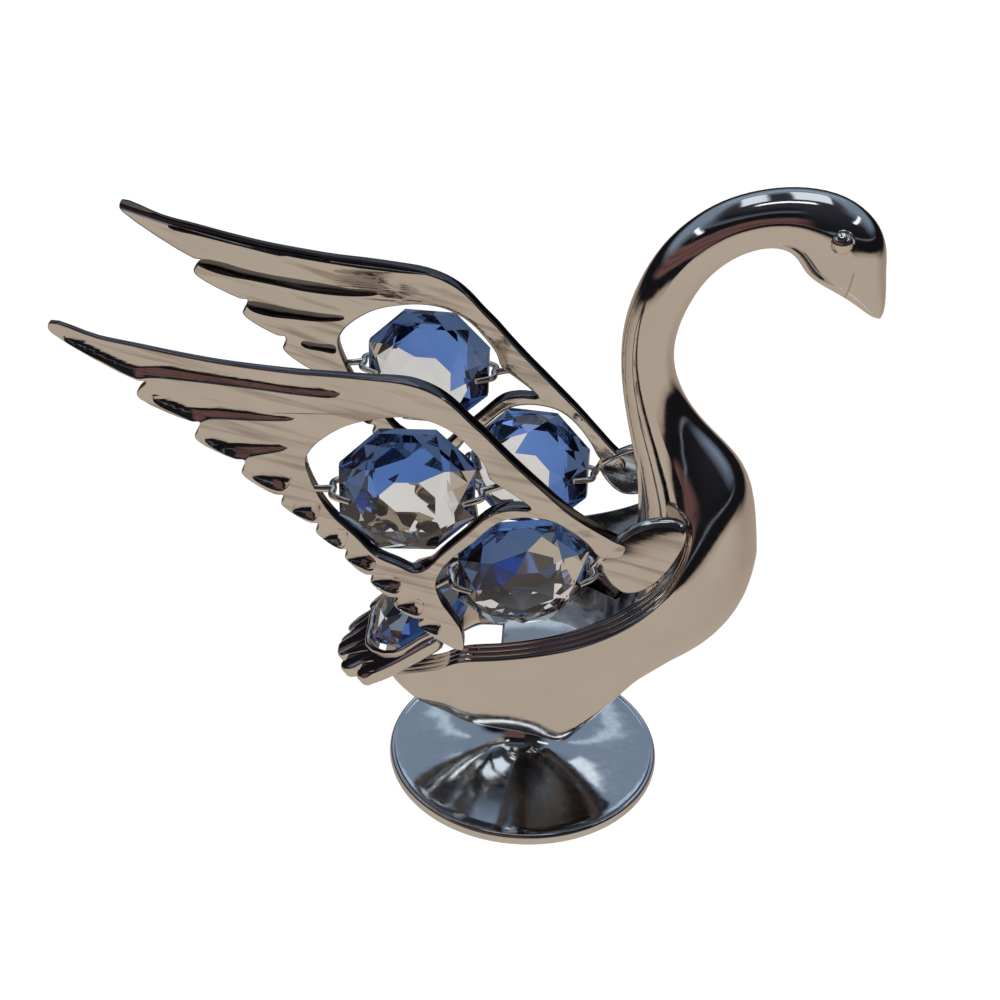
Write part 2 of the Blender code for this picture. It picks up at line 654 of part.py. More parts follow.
def make_wing(name, side, held, finish):
    wing = flat_plate(name, wing_outline(), (UPPER_HOLE,), WING_THICKNESS, EDGE_ROUND)
    wing.data.materials.append(finish)
    for path in GROOVES:
        for face in (1, -1):
            combine(wing, groove_cutter(path, face), "DIFFERENCE")
    place_in_wing(wing, side, lambda x, z: wing_offset(x))
    lobe = flat_plate("lobe", ROOT_LOBE, (), 0.8 * WING_THICKNESS, EDGE_ROUND)
    place_in_wing(lobe, side, lobe_offset)
    combine(wing, lobe, "UNION")
    for stone, roots in zip(held, CLAW_ROOTS):
        for end, root in zip((-1, 1), roots):
            combine(wing, claw(stone, end, side, root), "UNION")
    weld(wing)
    bm = bmesh.new()
    bm.from_mesh(wing.data)
    bmesh.ops.recalc_face_normals(bm, faces=bm.faces)
    bm.to_mesh(wing.data)
    bm.free()
    return wing


# Tail

# Half outline of the fan: distance along the slope and sideways, in millimetres.
FAN_EDGE = ((0.2, 8.7), (3.0, 8.9), (6.0, 8.7), (8.6, 8.2), (10.6, 7.5), (11.4, 6.7), (11.3, 5.8), (10.8, 5.2),
            (12.5, 5.1), (13.8, 4.3), (14.1, 3.3), (13.2, 2.3), (14.4, 1.7), (15.0, 0.7))


def fan_opening():
    """The U-shaped opening that the tail's stone sits in, one gap wider than the stone."""
    reach = STONE_ACROSS / 2 / MM + 0.45
    centre = STONE_ALONG / MM
    return ((0.2, reach + 0.1), (centre, reach + 0.1), (centre + 0.45 * reach, reach),
            (centre + reach, 0.45 * reach), (centre + reach + 0.05, 0.0))


def fan_point(along, across, above):
    """A point of the fan from its distances down the slope, sideways and above its middle surface."""
    droop = TAIL_DROOP * (across / FAN_HALF_WIDTH) ** 2 * (max(along, 0.0) / TAIL_LENGTH) ** 1.5
    x = TAIL_START - along * cos(TAIL_SLOPE) - above * sin(TAIL_SLOPE)
    z = RIM_HEIGHT - TAIL_DROP - along * sin(TAIL_SLOPE) + above * cos(TAIL_SLOPE) - droop
    return Vector((x, across, z))


def bend_to_fan(target):
    for v in target.data.vertices:
        v.co = fan_point(v.co.x, v.co.z, v.co.y)


def make_tail(finish):
    opening = fan_opening()
    other_side = [(s, -t) for s, t in reversed(FAN_EDGE)]
    inner = [(s, -t) for s, t in opening[:-1]] + [(s, t) for s, t in reversed(opening)]
    tail = flat_plate("tail", list(FAN_EDGE) + other_side + inner, (), TAIL_THICKNESS, EDGE_ROUND)
    tail.data.materials.append(finish)
    seat = SEAT_WIDTH / MM
    outer = [(s, -t - seat) for s, t in opening[:3]]
    outer += [(opening[3][0] + 0.8 * seat, -opening[3][1] - 0.5 * seat), (opening[4][0] + seat, 0.0),
              (opening[3][0] + 0.8 * seat, opening[3][1] + 0.5 * seat)]
    outer += [(s, t + seat) for s, t in reversed(opening[:3])]
    band = flat_plate("seat", outer + [(s, t) for s, t in opening[:-1]] + [(s, -t) for s, t in reversed(opening)],
                      (), TAIL_THICKNESS, 0.15 * MM)
    for v in band.data.vertices:
        v.co.y += SEAT_HEIGHT
    combine(tail, band, "UNION")
    bend_to_fan(tail)
    weld(tail)
    return tail


def tail_stone():
    centre = fan_point(STONE_ALONG, 0.0, STONE_PROUD)
    return Stone("crystal_tail", centre, (-sin(TAIL_SLOPE), 0, cos(TAIL_SLOPE)), (0, 1, 0))


def main():
    clear_scene()
    chrome = material("plated metal", (0.55, 0.53, 0.51), 0.08, 1.0)
    glass = material("pale blue glass", (0.25, 0.45, 0.85), 0.02, 0.0, transmission=0.9)
    make_foot(chrome)
    make_body(chrome)
    for side, word in ((-1, "right"), (1, "left")):
        held = stones(side, word)
        make_wing("wing_" + word, side, held, chrome)
        for stone in held:
            make_stone(stone, glass)
    make_tail(chrome)
    make_stone(tail_stone(), glass)


main()
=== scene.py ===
# %% [markdown]
# # A chrome swan with faceted blue stones
# This lesson dresses a small swan figurine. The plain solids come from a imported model, called the frame here,
# and this script gives them the polished metal, the cut glass and the soft studio light of a product photo.
# Everything is in metres. The swan looks along +X, its left is +Y, and the foot stands on Z = 0.

# %% Load the frame
import bpy
import bmesh
from math import cos, pi, radians, sin, sqrt, tan
from mathutils import Matrix, Vector


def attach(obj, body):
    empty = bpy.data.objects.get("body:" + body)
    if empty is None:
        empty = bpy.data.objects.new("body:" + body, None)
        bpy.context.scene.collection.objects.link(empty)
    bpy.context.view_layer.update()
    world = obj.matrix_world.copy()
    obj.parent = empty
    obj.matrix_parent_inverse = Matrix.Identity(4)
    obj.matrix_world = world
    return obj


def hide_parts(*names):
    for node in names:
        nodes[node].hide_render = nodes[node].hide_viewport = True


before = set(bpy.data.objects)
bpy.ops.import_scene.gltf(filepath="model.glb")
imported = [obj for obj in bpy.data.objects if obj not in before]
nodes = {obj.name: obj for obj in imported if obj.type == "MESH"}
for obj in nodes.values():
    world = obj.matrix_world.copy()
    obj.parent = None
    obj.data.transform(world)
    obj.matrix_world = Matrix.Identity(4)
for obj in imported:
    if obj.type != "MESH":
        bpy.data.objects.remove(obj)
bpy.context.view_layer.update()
MM = 0.001
print("nodes:", ", ".join(sorted(nodes)))


# %% [markdown]
# ## The camera
# The photo looks down on the swan's right side from a short distance. A long lens on a camera 0.21 m away
# gives the same flattened look. The three angles below turn the camera towards the swan.

# %% Camera
YAW, PITCH, ROLL = -0.0286229, 0.5718401, 0.0386848
CAMERA_PLACE = Vector((0.7014, -159.411, 138.575)) * MM
LENS = 62.547

ahead = Vector((sin(YAW) * cos(PITCH), cos(YAW) * cos(PITCH), -sin(PITCH)))
level_right = Vector((cos(YAW), -sin(YAW), 0.0))
level_up = level_right.cross(ahead)
right = cos(ROLL) * level_right + sin(ROLL) * level_up
up = -sin(ROLL) * level_right + cos(ROLL) * level_up

bpy.ops.object.camera_add(location=CAMERA_PLACE)
camera = bpy.context.object
camera.name = "photo_camera"
camera.data.lens = LENS
camera.data.sensor_width = 36.0
camera.data.clip_start = 0.001
camera.matrix_world = Matrix.Translation(CAMERA_PLACE) @ Matrix((right, up, -ahead)).transposed().to_4x4()
bpy.context.scene.camera = camera
print("camera looks along", [round(v, 3) for v in ahead])


# %% [markdown]
# ## Ways of working
# Every piece starts from a primitive or a curve and is shaped in edit mode, as by hand. These helpers keep
# the selection clean, because an operator acts on everything that is selected.


# %% Helpers for modelling
def select_only(*objects):
    if bpy.context.object is not None and bpy.context.object.mode != "OBJECT":
        bpy.ops.object.mode_set(mode="OBJECT")
    bpy.ops.object.select_all(action="DESELECT")
    for item in objects:
        item.select_set(True)
    if objects:
        bpy.context.view_layer.objects.active = objects[0]


def leave_edit():
    bpy.ops.object.mode_set(mode="OBJECT")


def edit(item):
    select_only(item)
    bpy.ops.object.mode_set(mode="EDIT")
    bpy.ops.mesh.select_all(action="SELECT")


def apply(item, kind, **settings):
    """Add one modifier, apply it at once, and so keep the plain mesh."""
    select_only(item)
    step = item.modifiers.new(kind.lower(), kind)
    for key, value in settings.items():
        setattr(step, key, value)
    bpy.ops.object.modifier_apply(modifier=step.name)


def join(*pieces):
    select_only(*pieces)
    bpy.ops.object.join()
    return pieces[0]


def tidy_mesh(item, distance=0.000002):
    """Merge doubles and turn all faces outwards."""
    edit(item)
    bpy.ops.mesh.remove_doubles(threshold=distance)
    bpy.ops.mesh.normals_make_consistent(inside=False)
    leave_edit()


def shade(item, angle=35.0):
    select_only(item)
    bpy.ops.object.shade_smooth_by_angle(angle=radians(angle))


def dress(piece, node, slot, *finishes):
    """Put a finished piece in place of its plain solid, with its metal."""
    for finish in finishes:
        piece.data.materials.append(finish)
    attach(piece, "root")
    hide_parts(node)
    print(piece.name, "has", len(piece.data.polygons), "faces")


# %% Smooth lines through points
def mix(a, b, start, end, place):
    return a + (b - a) * ((place - start) / (end - start))


def smooth_line(points, steps, closed=False):
    """Points on an even curve through the given ones. The square root keeps it from looping."""
    count = len(points)
    line = []
    for i in range(count if closed else count - 1):
        near = []
        for k in (i - 1, i, i + 1, i + 2):
            near.append(Vector(points[k % count] if closed else points[min(max(k, 0), count - 1)]))
        if not closed and i == 0:
            near[0] = 2 * near[1] - near[2]
        if not closed and i == count - 2:
            near[3] = 2 * near[2] - near[1]
        a, b, c, d = near
        u = sqrt((b - a).length)
        v = u + sqrt((c - b).length)
        w = v + sqrt((d - c).length)
        for j in range(steps):
            t = u + (v - u) * j / steps
            ab, bc, cd = mix(a, b, 0.0, u, t), mix(b, c, u, v, t), mix(c, d, v, w, t)
            line.append(mix(mix(ab, bc, 0.0, v, t), mix(bc, cd, u, w, t), u, v, t))
    if not closed:
        line.append(Vector(points[-1]))
    return line


# %% [markdown]
# ## Materials
# Polished metal has hardly any colour of its own: it shows the room. The plating here is a little darker and
# warmer than silver. Real castings are never perfectly even, so a slow noise bends the surface by a few
# hundredths of a millimetre, and a finer one stands for the marks that the polishing wheel leaves.


# %% Helpers for node materials
def new_material(name):
    made = bpy.data.materials.new(name)
    made.use_nodes = True
    tree = made.node_tree
    shader = tree.nodes["Principled BSDF"]
    coordinates = tree.nodes.new("ShaderNodeTexCoord")
    return made, tree, shader, coordinates.outputs["Object"]


def set_inputs(node, values):
    for socket, value in values.items():
        node.inputs[socket].default_value = value


def noise(tree, place, scale, detail=2.0, stretch=(1, 1, 1), turn=(0, 0, 0)):
    mapping = tree.nodes.new("ShaderNodeMapping")
    mapping.vector_type = "TEXTURE"
    set_inputs(mapping, {"Scale": stretch, "Rotation": turn})
    texture = tree.nodes.new("ShaderNodeTexNoise")
    set_inputs(texture, {"Scale": scale, "Detail": detail})
    tree.links.new(place, mapping.inputs["Vector"])
    tree.links.new(mapping.outputs["Vector"], texture.inputs["Vector"])
    return texture.outputs["Fac"]


def ramp(tree, factor, stops):
    node = tree.nodes.new("ShaderNodeValToRGB")
    ends = node.color_ramp.elements
    while len(ends) < len(stops):
        ends.new(0.5)
    for element, (position, colour) in zip(ends, stops):
        element.position = position
        element.color = (*colour, 1.0)
    tree.links.new(factor, node.inputs["Fac"])
    return node.outputs["Color"]


def bump(tree, height, strength, distance, before=None):
    node = tree.nodes.new("ShaderNodeBump")
    set_inputs(node, {"Strength": strength, "Distance": distance})
    tree.links.new(height, node.inputs["Height"])
    if before is not None:
        tree.links.new(before, node.inputs["Normal"])
    return node.outputs["Normal"]


def blend(tree, factor, first, second, kind="MIX"):
    node = tree.nodes.new("ShaderNodeMix")
    node.data_type = "RGBA"
    node.blend_type = kind
    for socket, value in (("Factor", factor), ("A", first), ("B", second)):
        if isinstance(value, float):
            node.inputs[socket].default_value = value
        elif isinstance(value, tuple):
            node.inputs[socket].default_value = (*value, 1.0)
        else:
            tree.links.new(value, node.inputs[socket])
    return node.outputs["Result"]


def maths(tree, operation, first, second=0.0, clamped=False):
    node = tree.nodes.new("ShaderNodeMath")
    node.operation = operation
    node.use_clamp = clamped
    for socket, value in zip(node.inputs, (first, second)):
        if isinstance(value, (int, float)):
            socket.default_value = value
        else:
            tree.links.new(value, socket)
    return node.outputs["Value"]


# %% Polished plating
def plating(name, colour, darker, roughness, wave, streaks=0.0):
    made, tree, shader, place = new_material(name)
    shader.inputs["Metallic"].default_value = 1.0
    slow = noise(tree, place, 150.0, 2.0)
    fine = noise(tree, place, 1400.0, 3.0)
    tint = ramp(tree, slow, ((0.3, darker), (0.7, colour)))
    haze = ramp(tree, fine, ((0.35, (roughness,) * 3), (0.75, (roughness * 2.2,) * 3)))
    tree.links.new(haze, shader.inputs["Roughness"])
    normal = bump(tree, slow, wave, 0.0005)
    if streaks:
        lines = noise(tree, place, 1100.0, 3.0, (22, 1, 1), (0, radians(15), 0))
        normal = bump(tree, lines, streaks, 0.0001, normal)
        # Painted shade: the same lines also darken the colour, standing for the shading of the feathers' slight
        # bulges.
        painted_feather_shade = ramp(tree, lines, ((0.30, (0.62, 0.60, 0.58)), (0.48, (1, 1, 1))))
        tint = blend(tree, 1.0, tint, painted_feather_shade, "MULTIPLY")
    tree.links.new(tint, shader.inputs["Base Color"])
    normal = bump(tree, fine, 0.08, 0.00003, normal)
    tree.links.new(normal, shader.inputs["Normal"])
    return made


body_metal = plating("warm_plating", (0.80, 0.78, 0.76), (0.76, 0.73, 0.71), 0.05, 0.12)
wing_metal = plating("feather_plating", (0.80, 0.78, 0.76), (0.75, 0.72, 0.70), 0.05, 0.12, 0.12)
tail_metal = plating("tail_plating", (0.80, 0.78, 0.77), (0.74, 0.72, 0.71), 0.05, 0.15)
foot_metal = plating("foot_plating", (0.80, 0.80, 0.80), (0.74, 0.75, 0.77), 0.06, 0.15)
# Painted shade: a near-black plating for the wings' rolled edges, steep walls and the hollows of the inner
# face.
painted_shade_edge_metal = plating("edge_painted_shade", (0.20, 0.195, 0.205), (0.13, 0.125, 0.13), 0.06, 0.25)
# Painted shade: a dark, rougher plating for the underside of the hull above the foot.
underside_painted_shade_metal = plating("underside_painted_shade", (0.20, 0.19, 0.19), (0.13, 0.12, 0.12), 0.22, 0.3)
print("platings:", ", ".join(m.name for m in (body_metal, wing_metal, tail_metal, foot_metal, painted_shade_edge_metal)))


# %% Line where the beak meets the cheek
# The thin line is a darker stripe that leans a little and fades out at both ends.
tree = body_metal.node_tree
shader = tree.nodes["Principled BSDF"]
parts = tree.nodes.new("ShaderNodeSeparateXYZ")
tree.links.new(tree.nodes["Texture Coordinate"].outputs["Object"], parts.inputs["Vector"])
x, z = parts.outputs["X"], parts.outputs["Z"]
BEAK_LINE_PLACE, BEAK_LINE_HALF = 26.12 * MM, 0.16 * MM
slanted = maths(tree, "SUBTRACT", x, maths(tree, "MULTIPLY", z, 0.057))
away = maths(tree, "ABSOLUTE", maths(tree, "SUBTRACT", slanted, BEAK_LINE_PLACE))
line = maths(tree, "SUBTRACT", 1.0, maths(tree, "DIVIDE", away, BEAK_LINE_HALF), True)
above = maths(tree, "DIVIDE", maths(tree, "SUBTRACT", z, 61.0 * MM), 0.5 * MM, True)
below = maths(tree, "DIVIDE", maths(tree, "SUBTRACT", 66.8 * MM, z), 0.5 * MM, True)
line = maths(tree, "MULTIPLY", maths(tree, "MULTIPLY", line, above), below)
colour = shader.inputs["Base Color"]
marked = blend(tree, maths(tree, "MULTIPLY", line, 0.55), colour.links[0].from_socket, (0.2, 0.18, 0.16))
tree.links.new(marked, colour)
print("the beak's line is", 2 * BEAK_LINE_HALF / MM, "mm wide")


# %% Blue glass, and pale glass for painted light
def cut_glass(name, deep, pale):
    made, tree, shader, place = new_material(name)
    cloud = noise(tree, place, 90.0, 1.0)
    tint = ramp(tree, cloud, ((0.3, deep), (0.7, pale)))
    tree.links.new(tint, shader.inputs["Base Color"])
    set_inputs(shader, {"Transmission Weight": 1.0, "Roughness": 0.0, "IOR": 1.6})
    return made


blue_glass = cut_glass("blue_cut_glass", (0.008, 0.036, 0.26), (0.022, 0.075, 0.40))
# Pale glass is painted light: it stands for the white that shows through some facets.
pale_painted_light_glass = cut_glass("pale_cut_glass_painted_light", (0.55, 0.535, 0.52), (0.66, 0.645, 0.625))
print("glass:", blue_glass.name, "and", pale_painted_light_glass.name)


# %% [markdown]
# ## The foot
# The real foot is turned on a lathe: a rounded rim, a shallow ring inside it, and a trumpet that rises into a
# thin stem. A disc is extruded upwards ring by ring and resized each time, which is how a lathe's profile is
# drawn by hand. The plain solid has the same sizes with fewer rings.

# %% Foot sizes
FOOT_RADIUS = 15.9 * MM
FOOT_RIM = 1.5 * MM
TRUMPET_HEIGHT = 9.0 * MM
STEM_RADIUS = 1.9 * MM
STEM_TOP = 18.0 * MM


def foot_rings():
    """Radius and height of each ring, from the underside to the top of the stem."""
    rings = [(FOOT_RADIUS - 0.42 * MM, 0.0)]
    for i in range(1, 13):
        turn = pi * i / 12
        bulge = 0.40 * MM
        rings.append((FOOT_RADIUS - bulge + bulge * sin(turn), FOOT_RIM / 2 * (1 - cos(turn))))
    rings += [(FOOT_RADIUS - 0.52 * MM, FOOT_RIM - 0.03 * MM), (FOOT_RADIUS - 0.66 * MM, 1.33 * MM)]
    start = FOOT_RADIUS - 0.80 * MM
    steps = 30
    for i in range(steps + 1):
        t = i / steps
        rings.append((STEM_RADIUS + (start - STEM_RADIUS) * (1 - t) ** 2.6,
                      1.29 * MM + (TRUMPET_HEIGHT - 1.29 * MM) * t ** 1.9))
    rings += [(STEM_RADIUS, 12.0 * MM), (STEM_RADIUS, STEM_TOP)]
    return rings


# %% Foot shape
select_only()
rings = foot_rings()
bpy.ops.mesh.primitive_circle_add(vertices=128, radius=rings[0][0], fill_type="NGON", location=(0, 0, 0))
foot = bpy.context.object
foot.name = "swan_foot"
bpy.ops.object.mode_set(mode="EDIT")
for (radius, height), (wider, higher) in zip(rings, rings[1:]):
    bpy.ops.mesh.extrude_region_move(TRANSFORM_OT_translate={"value": (0, 0, higher - height)})
    ratio = wider / radius
    bpy.ops.transform.resize(value=(ratio, ratio, 1.0), center_override=(0, 0, higher))
leave_edit()
tidy_mesh(foot)
shade(foot, 50.0)
print("foot rings:", len(rings))


# %% [markdown]
# ## The body
# Hull, breast, neck and head are one hollow casting. It is grown from a single loop of edges: up the
# outside of the hull, over the sloping rim, down the inside, and then, from the open front, up the neck to
# the beak. Each loop is extruded and laid on the next outline, and a subdivision surface rounds the whole
# skin. Loops set close together keep the rim's edges crisp.

# %% Body sizes
HULL_FRONT = 24.8 * MM
HULL_REAR = 16.8 * MM
HULL_HALF_WIDTH = 12.8 * MM
HULL_LEAN = 2.8 * MM
HULL_WALL = 1.3 * MM
HULL_BOTTOM = 9.9 * MM
RIM_HEIGHT = 23.0 * MM
RIM_CHAMFER = 1.1 * MM
RIM_RISE = 1.7 * MM
NECK_RADIUS = 2.85 * MM
NECK_HEIGHT = 70.5 * MM
COLUMNS = (90, 78, 66, 54, 46, 38, 30, 22, 12, 0, -14, -28, -42, -54, -66, -78, -90)
RIM_END = 38
REAR_OUTLINE = ((0, 0.0, 1.0), (-14, 0.25, 0.99), (-28, 0.45, 0.95), (-42, 0.56, 0.8),
                (-54, 0.69, 0.68), (-66, 0.82, 0.58), (-78, 0.93, 0.42), (-90, 1.0, 0.0))
HULL_FRONTS = (12.8, 20.2, 23.1, 24.6, 24.8)
SKIRT_OUTLINE = ((90, 0.0), (54, 0.36), (38, 0.6), (30, 0.78), (22, 0.97), (0, 1.0))
BOTTOM_LINE = ((90, 5.0), (54, 4.9), (38, 3.4), (22, -0.1), (0, 1.7), (-28, 2.3), (-66, 1.9), (-90, 3.2))
RIM_LINE = ((90, 8.6), (54, 9.4), (38, 9.2), (30, 6.2), (22, 4.2), (12, 2.4), (0, 1.2), (-14, 0.4),
            (-28, -0.2), (-42, -3.0), (-54, -4.6), (-66, -6.2), (-78, -7.6), (-90, -8.6))


# %% Outlines of the hull
def between(angle, stops):
    """Straight interpolation between (angle, value) stops, listed from high angles to low."""
    for (a0, v0), (a1, v1) in zip(stops, stops[1:]):
        if a0 >= angle >= a1:
            return v0 + (v1 - v0) * (a0 - angle) / (a0 - a1)
    return stops[-1][1]


def hull_point(angle, share):
    """A point of the hull's outside, a share of the way up from its bottom edge."""
    quarter = min(int(share * 4), 3)
    lower, upper = HULL_FRONTS[quarter:quarter + 2]
    front = (lower + (upper - lower) * (share * 4 - quarter)) * MM
    rear = HULL_REAR - 2.0 * MM * (1 - share) ** 2
    half_width = HULL_HALF_WIDTH - HULL_LEAN * (1 - share) ** 1.3
    low = HULL_BOTTOM + between(angle, BOTTOM_LINE) * MM
    high = RIM_HEIGHT + between(angle, RIM_LINE) * MM
    z = low + (high - low) * share
    if angle >= 0:
        full = cos(radians(angle))
        narrow = between(angle, SKIRT_OUTLINE)
        y = half_width * max(full + (narrow - full) * (1 - share) ** 3, 0.0)
        return Vector((front * sin(radians(angle)), y, z))
    back = between(angle, [(a, reach) for a, reach, _ in REAR_OUTLINE])
    width = between(angle, [(a, part) for a, _, part in REAR_OUTLINE])
    return Vector((-rear * back, half_width * width, z))


def rim_top(angle):
    """The rim's inner edge, higher than its outer one."""
    outer = hull_point(angle, 1.0)
    inset = min(RIM_CHAMFER * (1.0 + 1.1 * max(0.0, angle) / RIM_END), outer.y)
    stern = RIM_CHAMFER * max(0.0, -sin(radians(angle)))
    return Vector((outer.x + stern, outer.y - inset, outer.z + RIM_RISE))


def front_arc(corner, middle_x, angle):
    """The inside of the breast: a curve from the rim's end to the middle plane."""
    turn = radians(90) * (angle - RIM_END) / (90 - RIM_END)
    return Vector((corner.x + (middle_x - corner.x) * sin(turn), corner.y * cos(turn), corner.z))


def whole_loop(half):
    """The left half of a loop, with both ends in the middle plane, and its mirror image on the right."""
    half[0].y = half[-1].y = 0.0
    return half + [Vector((p.x, -p.y, p.z)) for p in reversed(half[1:-1])]


# %% Loops of the hull
def outer_loop(share):
    return whole_loop([hull_point(a, share) for a in COLUMNS])


def rim_loop(share, sink):
    """A loop on the sloping band. The fine grooves are sunk a little below it."""
    half = []
    for a in COLUMNS:
        outer = hull_point(a, 1.0)
        if a > RIM_END:
            inner = front_arc(rim_top(RIM_END), 11.3 * MM, a)
        else:
            inner = rim_top(a)
        inwards = Vector((0, -1, -0.6)) if a > -80 else Vector((1, 0, -0.6))
        half.append(outer + (inner - outer) * share + inwards.normalized() * sink)
    return whole_loop(half)


def inner_loop(share):
    """A loop on the hull's inside, one wall behind the outside. Share 1 is just under the rim."""
    half = []
    inward = HULL_WALL / HULL_HALF_WIDTH
    for a in COLUMNS:
        wall = hull_point(min(a, RIM_END), share)
        wall.x *= 1 - 1.2 * inward
        wall.y *= 1 - inward
        top = rim_top(min(a, RIM_END))
        wall = wall.lerp(top, max(0.0, share - 0.8) * 5 * 0.9)
        wall.z = hull_point(min(a, RIM_END), share).z + (RIM_RISE - 0.35 * MM) * share
        half.append(wall if a <= RIM_END else front_arc(wall, (8.6 + 2.7 * share) * MM, a))
    return whole_loop(half)


GROOVE_PLACES = (0.24, 0.5, 0.76)
hull_loops = [outer_loop(s) for s in (0.0, 0.03, 0.15, 0.3, 0.5, 0.7, 0.88, 0.975, 1.0)]
rim_start = len(hull_loops) - 1
hull_loops.append(rim_loop(0.06, 0.0))
for place in GROOVE_PLACES:
    hull_loops += [rim_loop(place - 0.06, 0.0), rim_loop(place, 0.09 * MM), rim_loop(place + 0.06, 0.0)]
hull_loops += [rim_loop(0.95, 0.0), rim_loop(1.0, 0.0)]
rim_stop = len(hull_loops) - 1
hull_loops += [inner_loop(s) for s in (1.0, 0.85, 0.6, 0.35, 0.12, 0.0)]
print("loops of the hull:", len(hull_loops), "with", len(hull_loops[0]), "points each")


# %% Growing the hull
def grow(body_mesh, layer_name, outlines):
    """Extrude the selected loop and lay it on each outline in turn. Each vertex keeps its own number."""
    for outline in outlines:
        bpy.ops.mesh.extrude_edges_move()
        work = bmesh.from_edit_mesh(body_mesh)
        numbers = work.verts.layers.int[layer_name]
        for vertex in work.verts:
            if vertex.select:
                vertex.co = outline[vertex[numbers]]
        bmesh.update_edit_mesh(body_mesh)


select_only()
bpy.ops.mesh.primitive_circle_add(vertices=len(hull_loops[0]), radius=HULL_FRONT, fill_type="NOTHING")
body = bpy.context.object
body.name = "swan_body"
bpy.ops.object.mode_set(mode="EDIT")
work = bmesh.from_edit_mesh(body.data)
column = work.verts.layers.int.new("column")
work.verts.layers.int.new("neck_column")
for number, vertex in enumerate(work.verts):
    vertex[column] = number
    vertex.co = hull_loops[0][number]
bmesh.update_edit_mesh(body.data)
bpy.ops.mesh.select_all(action="SELECT")
grow(body.data, "column", hull_loops[1:])
print("hull vertices:", len(bmesh.from_edit_mesh(body.data).verts))


# %% Opening for the neck
def ring_vertices(work, outline):
    """The vertices that lie on an outline, in its order."""
    return [min(work.verts, key=lambda v: (v.co - point).length_squared) for point in outline]


work = bmesh.from_edit_mesh(body.data)
half_count = len(COLUMNS)
front_left = [i for i, a in enumerate(COLUMNS) if a >= RIM_END]
front_right = [2 * half_count - 2 - i for i in front_left[1:]]
loops = [ring_vertices(work, hull_loops[k]) for k in range(rim_start, rim_stop + 1)]
front_numbers = set(front_left + front_right)
doomed = []
for low, high in zip(loops, loops[1:]):
    members = {low[n] for n in front_numbers} | {high[n] for n in front_numbers}
    doomed += [face for face in work.faces if all(v in members for v in face.verts)]
outer_rim, inner_rim = loops[0], loops[-1]
border = [outer_rim[n] for n in front_left]
border += [loop[front_left[-1]] for loop in loops[1:-1]]
border += [inner_rim[n] for n in reversed(front_left)]
border += [inner_rim[n] for n in front_right]
border += [loop[front_right[-1]] for loop in reversed(loops[1:-1])]
border += [outer_rim[n] for n in reversed(front_right)]
bmesh.ops.delete(work, geom=list(dict.fromkeys(doomed)), context="FACES")
neck_column = work.verts.layers.int["neck_column"]
for vertex in work.verts:
    vertex.select = False
for number, vertex in enumerate(border):
    vertex[neck_column] = number
work.select_flush(False)
bpy.ops.mesh.select_mode(type="VERT")
for vertex in border:
    vertex.select = True
work.select_flush(True)
bmesh.update_edit_mesh(body.data)
print("the neck's opening has", len(border), "points")


# %% [markdown]
# ## Neck and head
# The rings below hold the neck's centre line and its half depth and half width. They rise from the shoulders,
# arch over, swell into the head and close at the beak.

# %% Neck rings
NECK_RISE = ((17.4, 0.0, 2.35, 2.5), (15.9, 0.146, 1.93, 1.93), (14.3, 0.267, 1.55, 1.5),
             (12.8, 0.392, 1.26, 1.24), (11.5, 0.533, 1.06, 1.06), (10.7, 0.683, 0.96, 0.98),
             (10.7, 0.842, 0.98, 0.98), (11.7, 1.0, 1.0, 1.0))
NECK_ARCH = ((13.5, 5.1, 1.01, 1.0), (16.1, 2.4, 1.01, 1.0), (18.7, 0.8, 1.02, 1.0),
             (21.6, -0.05, 1.03, 1.0), (24.3, -0.05, 1.17, 1.06), (26.9, 0.8, 1.42, 1.16),
             (28.9, 2.7, 1.56, 1.2), (30.3, 4.5, 1.34, 1.08),
             (31.3, 6.1, 0.95, 0.88), (32.5, 7.9, 0.60, 0.58), (33.4, 9.6, 0.30, 0.30))
side_count = len(loops) - 2


def neck_outline(index, rings):
    """One ring of the neck, square to its centre line, with as many points as the opening."""
    x, z, depth, width = rings[index]
    before, after = rings[max(index - 1, 0)], rings[min(index + 1, len(rings) - 1)]
    along = Vector((after[0] - before[0], 0, after[1] - before[1])).normalized()
    forward = Vector((along.z, 0, -along.x))
    last = len(front_left) - 1
    turns = [90 - 90 * i / last for i in range(last + 1)]
    turns += [-14 * (i + 1) / (side_count + 1) for i in range(side_count)]
    turns += [-14 - 76 * i / last for i in range(last + 1)]
    half = []
    for turn in turns:
        half.append(Vector((x, 0, z)) + forward * depth * sin(radians(turn))
                    + Vector((0, width * cos(radians(turn)), 0)))
    return whole_loop(half)


shoulders = RIM_HEIGHT + 14.6 * MM
arch = NECK_HEIGHT - 8.9 * MM
neck_rings = [(x * MM, shoulders + (arch - shoulders) * share, depth * NECK_RADIUS, width * NECK_RADIUS)
              for x, share, depth, width in NECK_RISE]
neck_rings += [(x * MM, NECK_HEIGHT - drop * MM, depth * NECK_RADIUS, width * NECK_RADIUS)
               for x, drop, depth, width in NECK_ARCH]
neck_loops = [neck_outline(i, neck_rings) for i in range(len(neck_rings))]
beak = Vector((34.0 * MM, 0, NECK_HEIGHT - 10.7 * MM))
neck_loops.append([beak + (p - beak) * 0.25 for p in neck_loops[-1]])
grow(body.data, "neck_column", neck_loops)
bpy.ops.mesh.merge(type="COLLAPSE")
print("neck rings:", len(neck_loops))


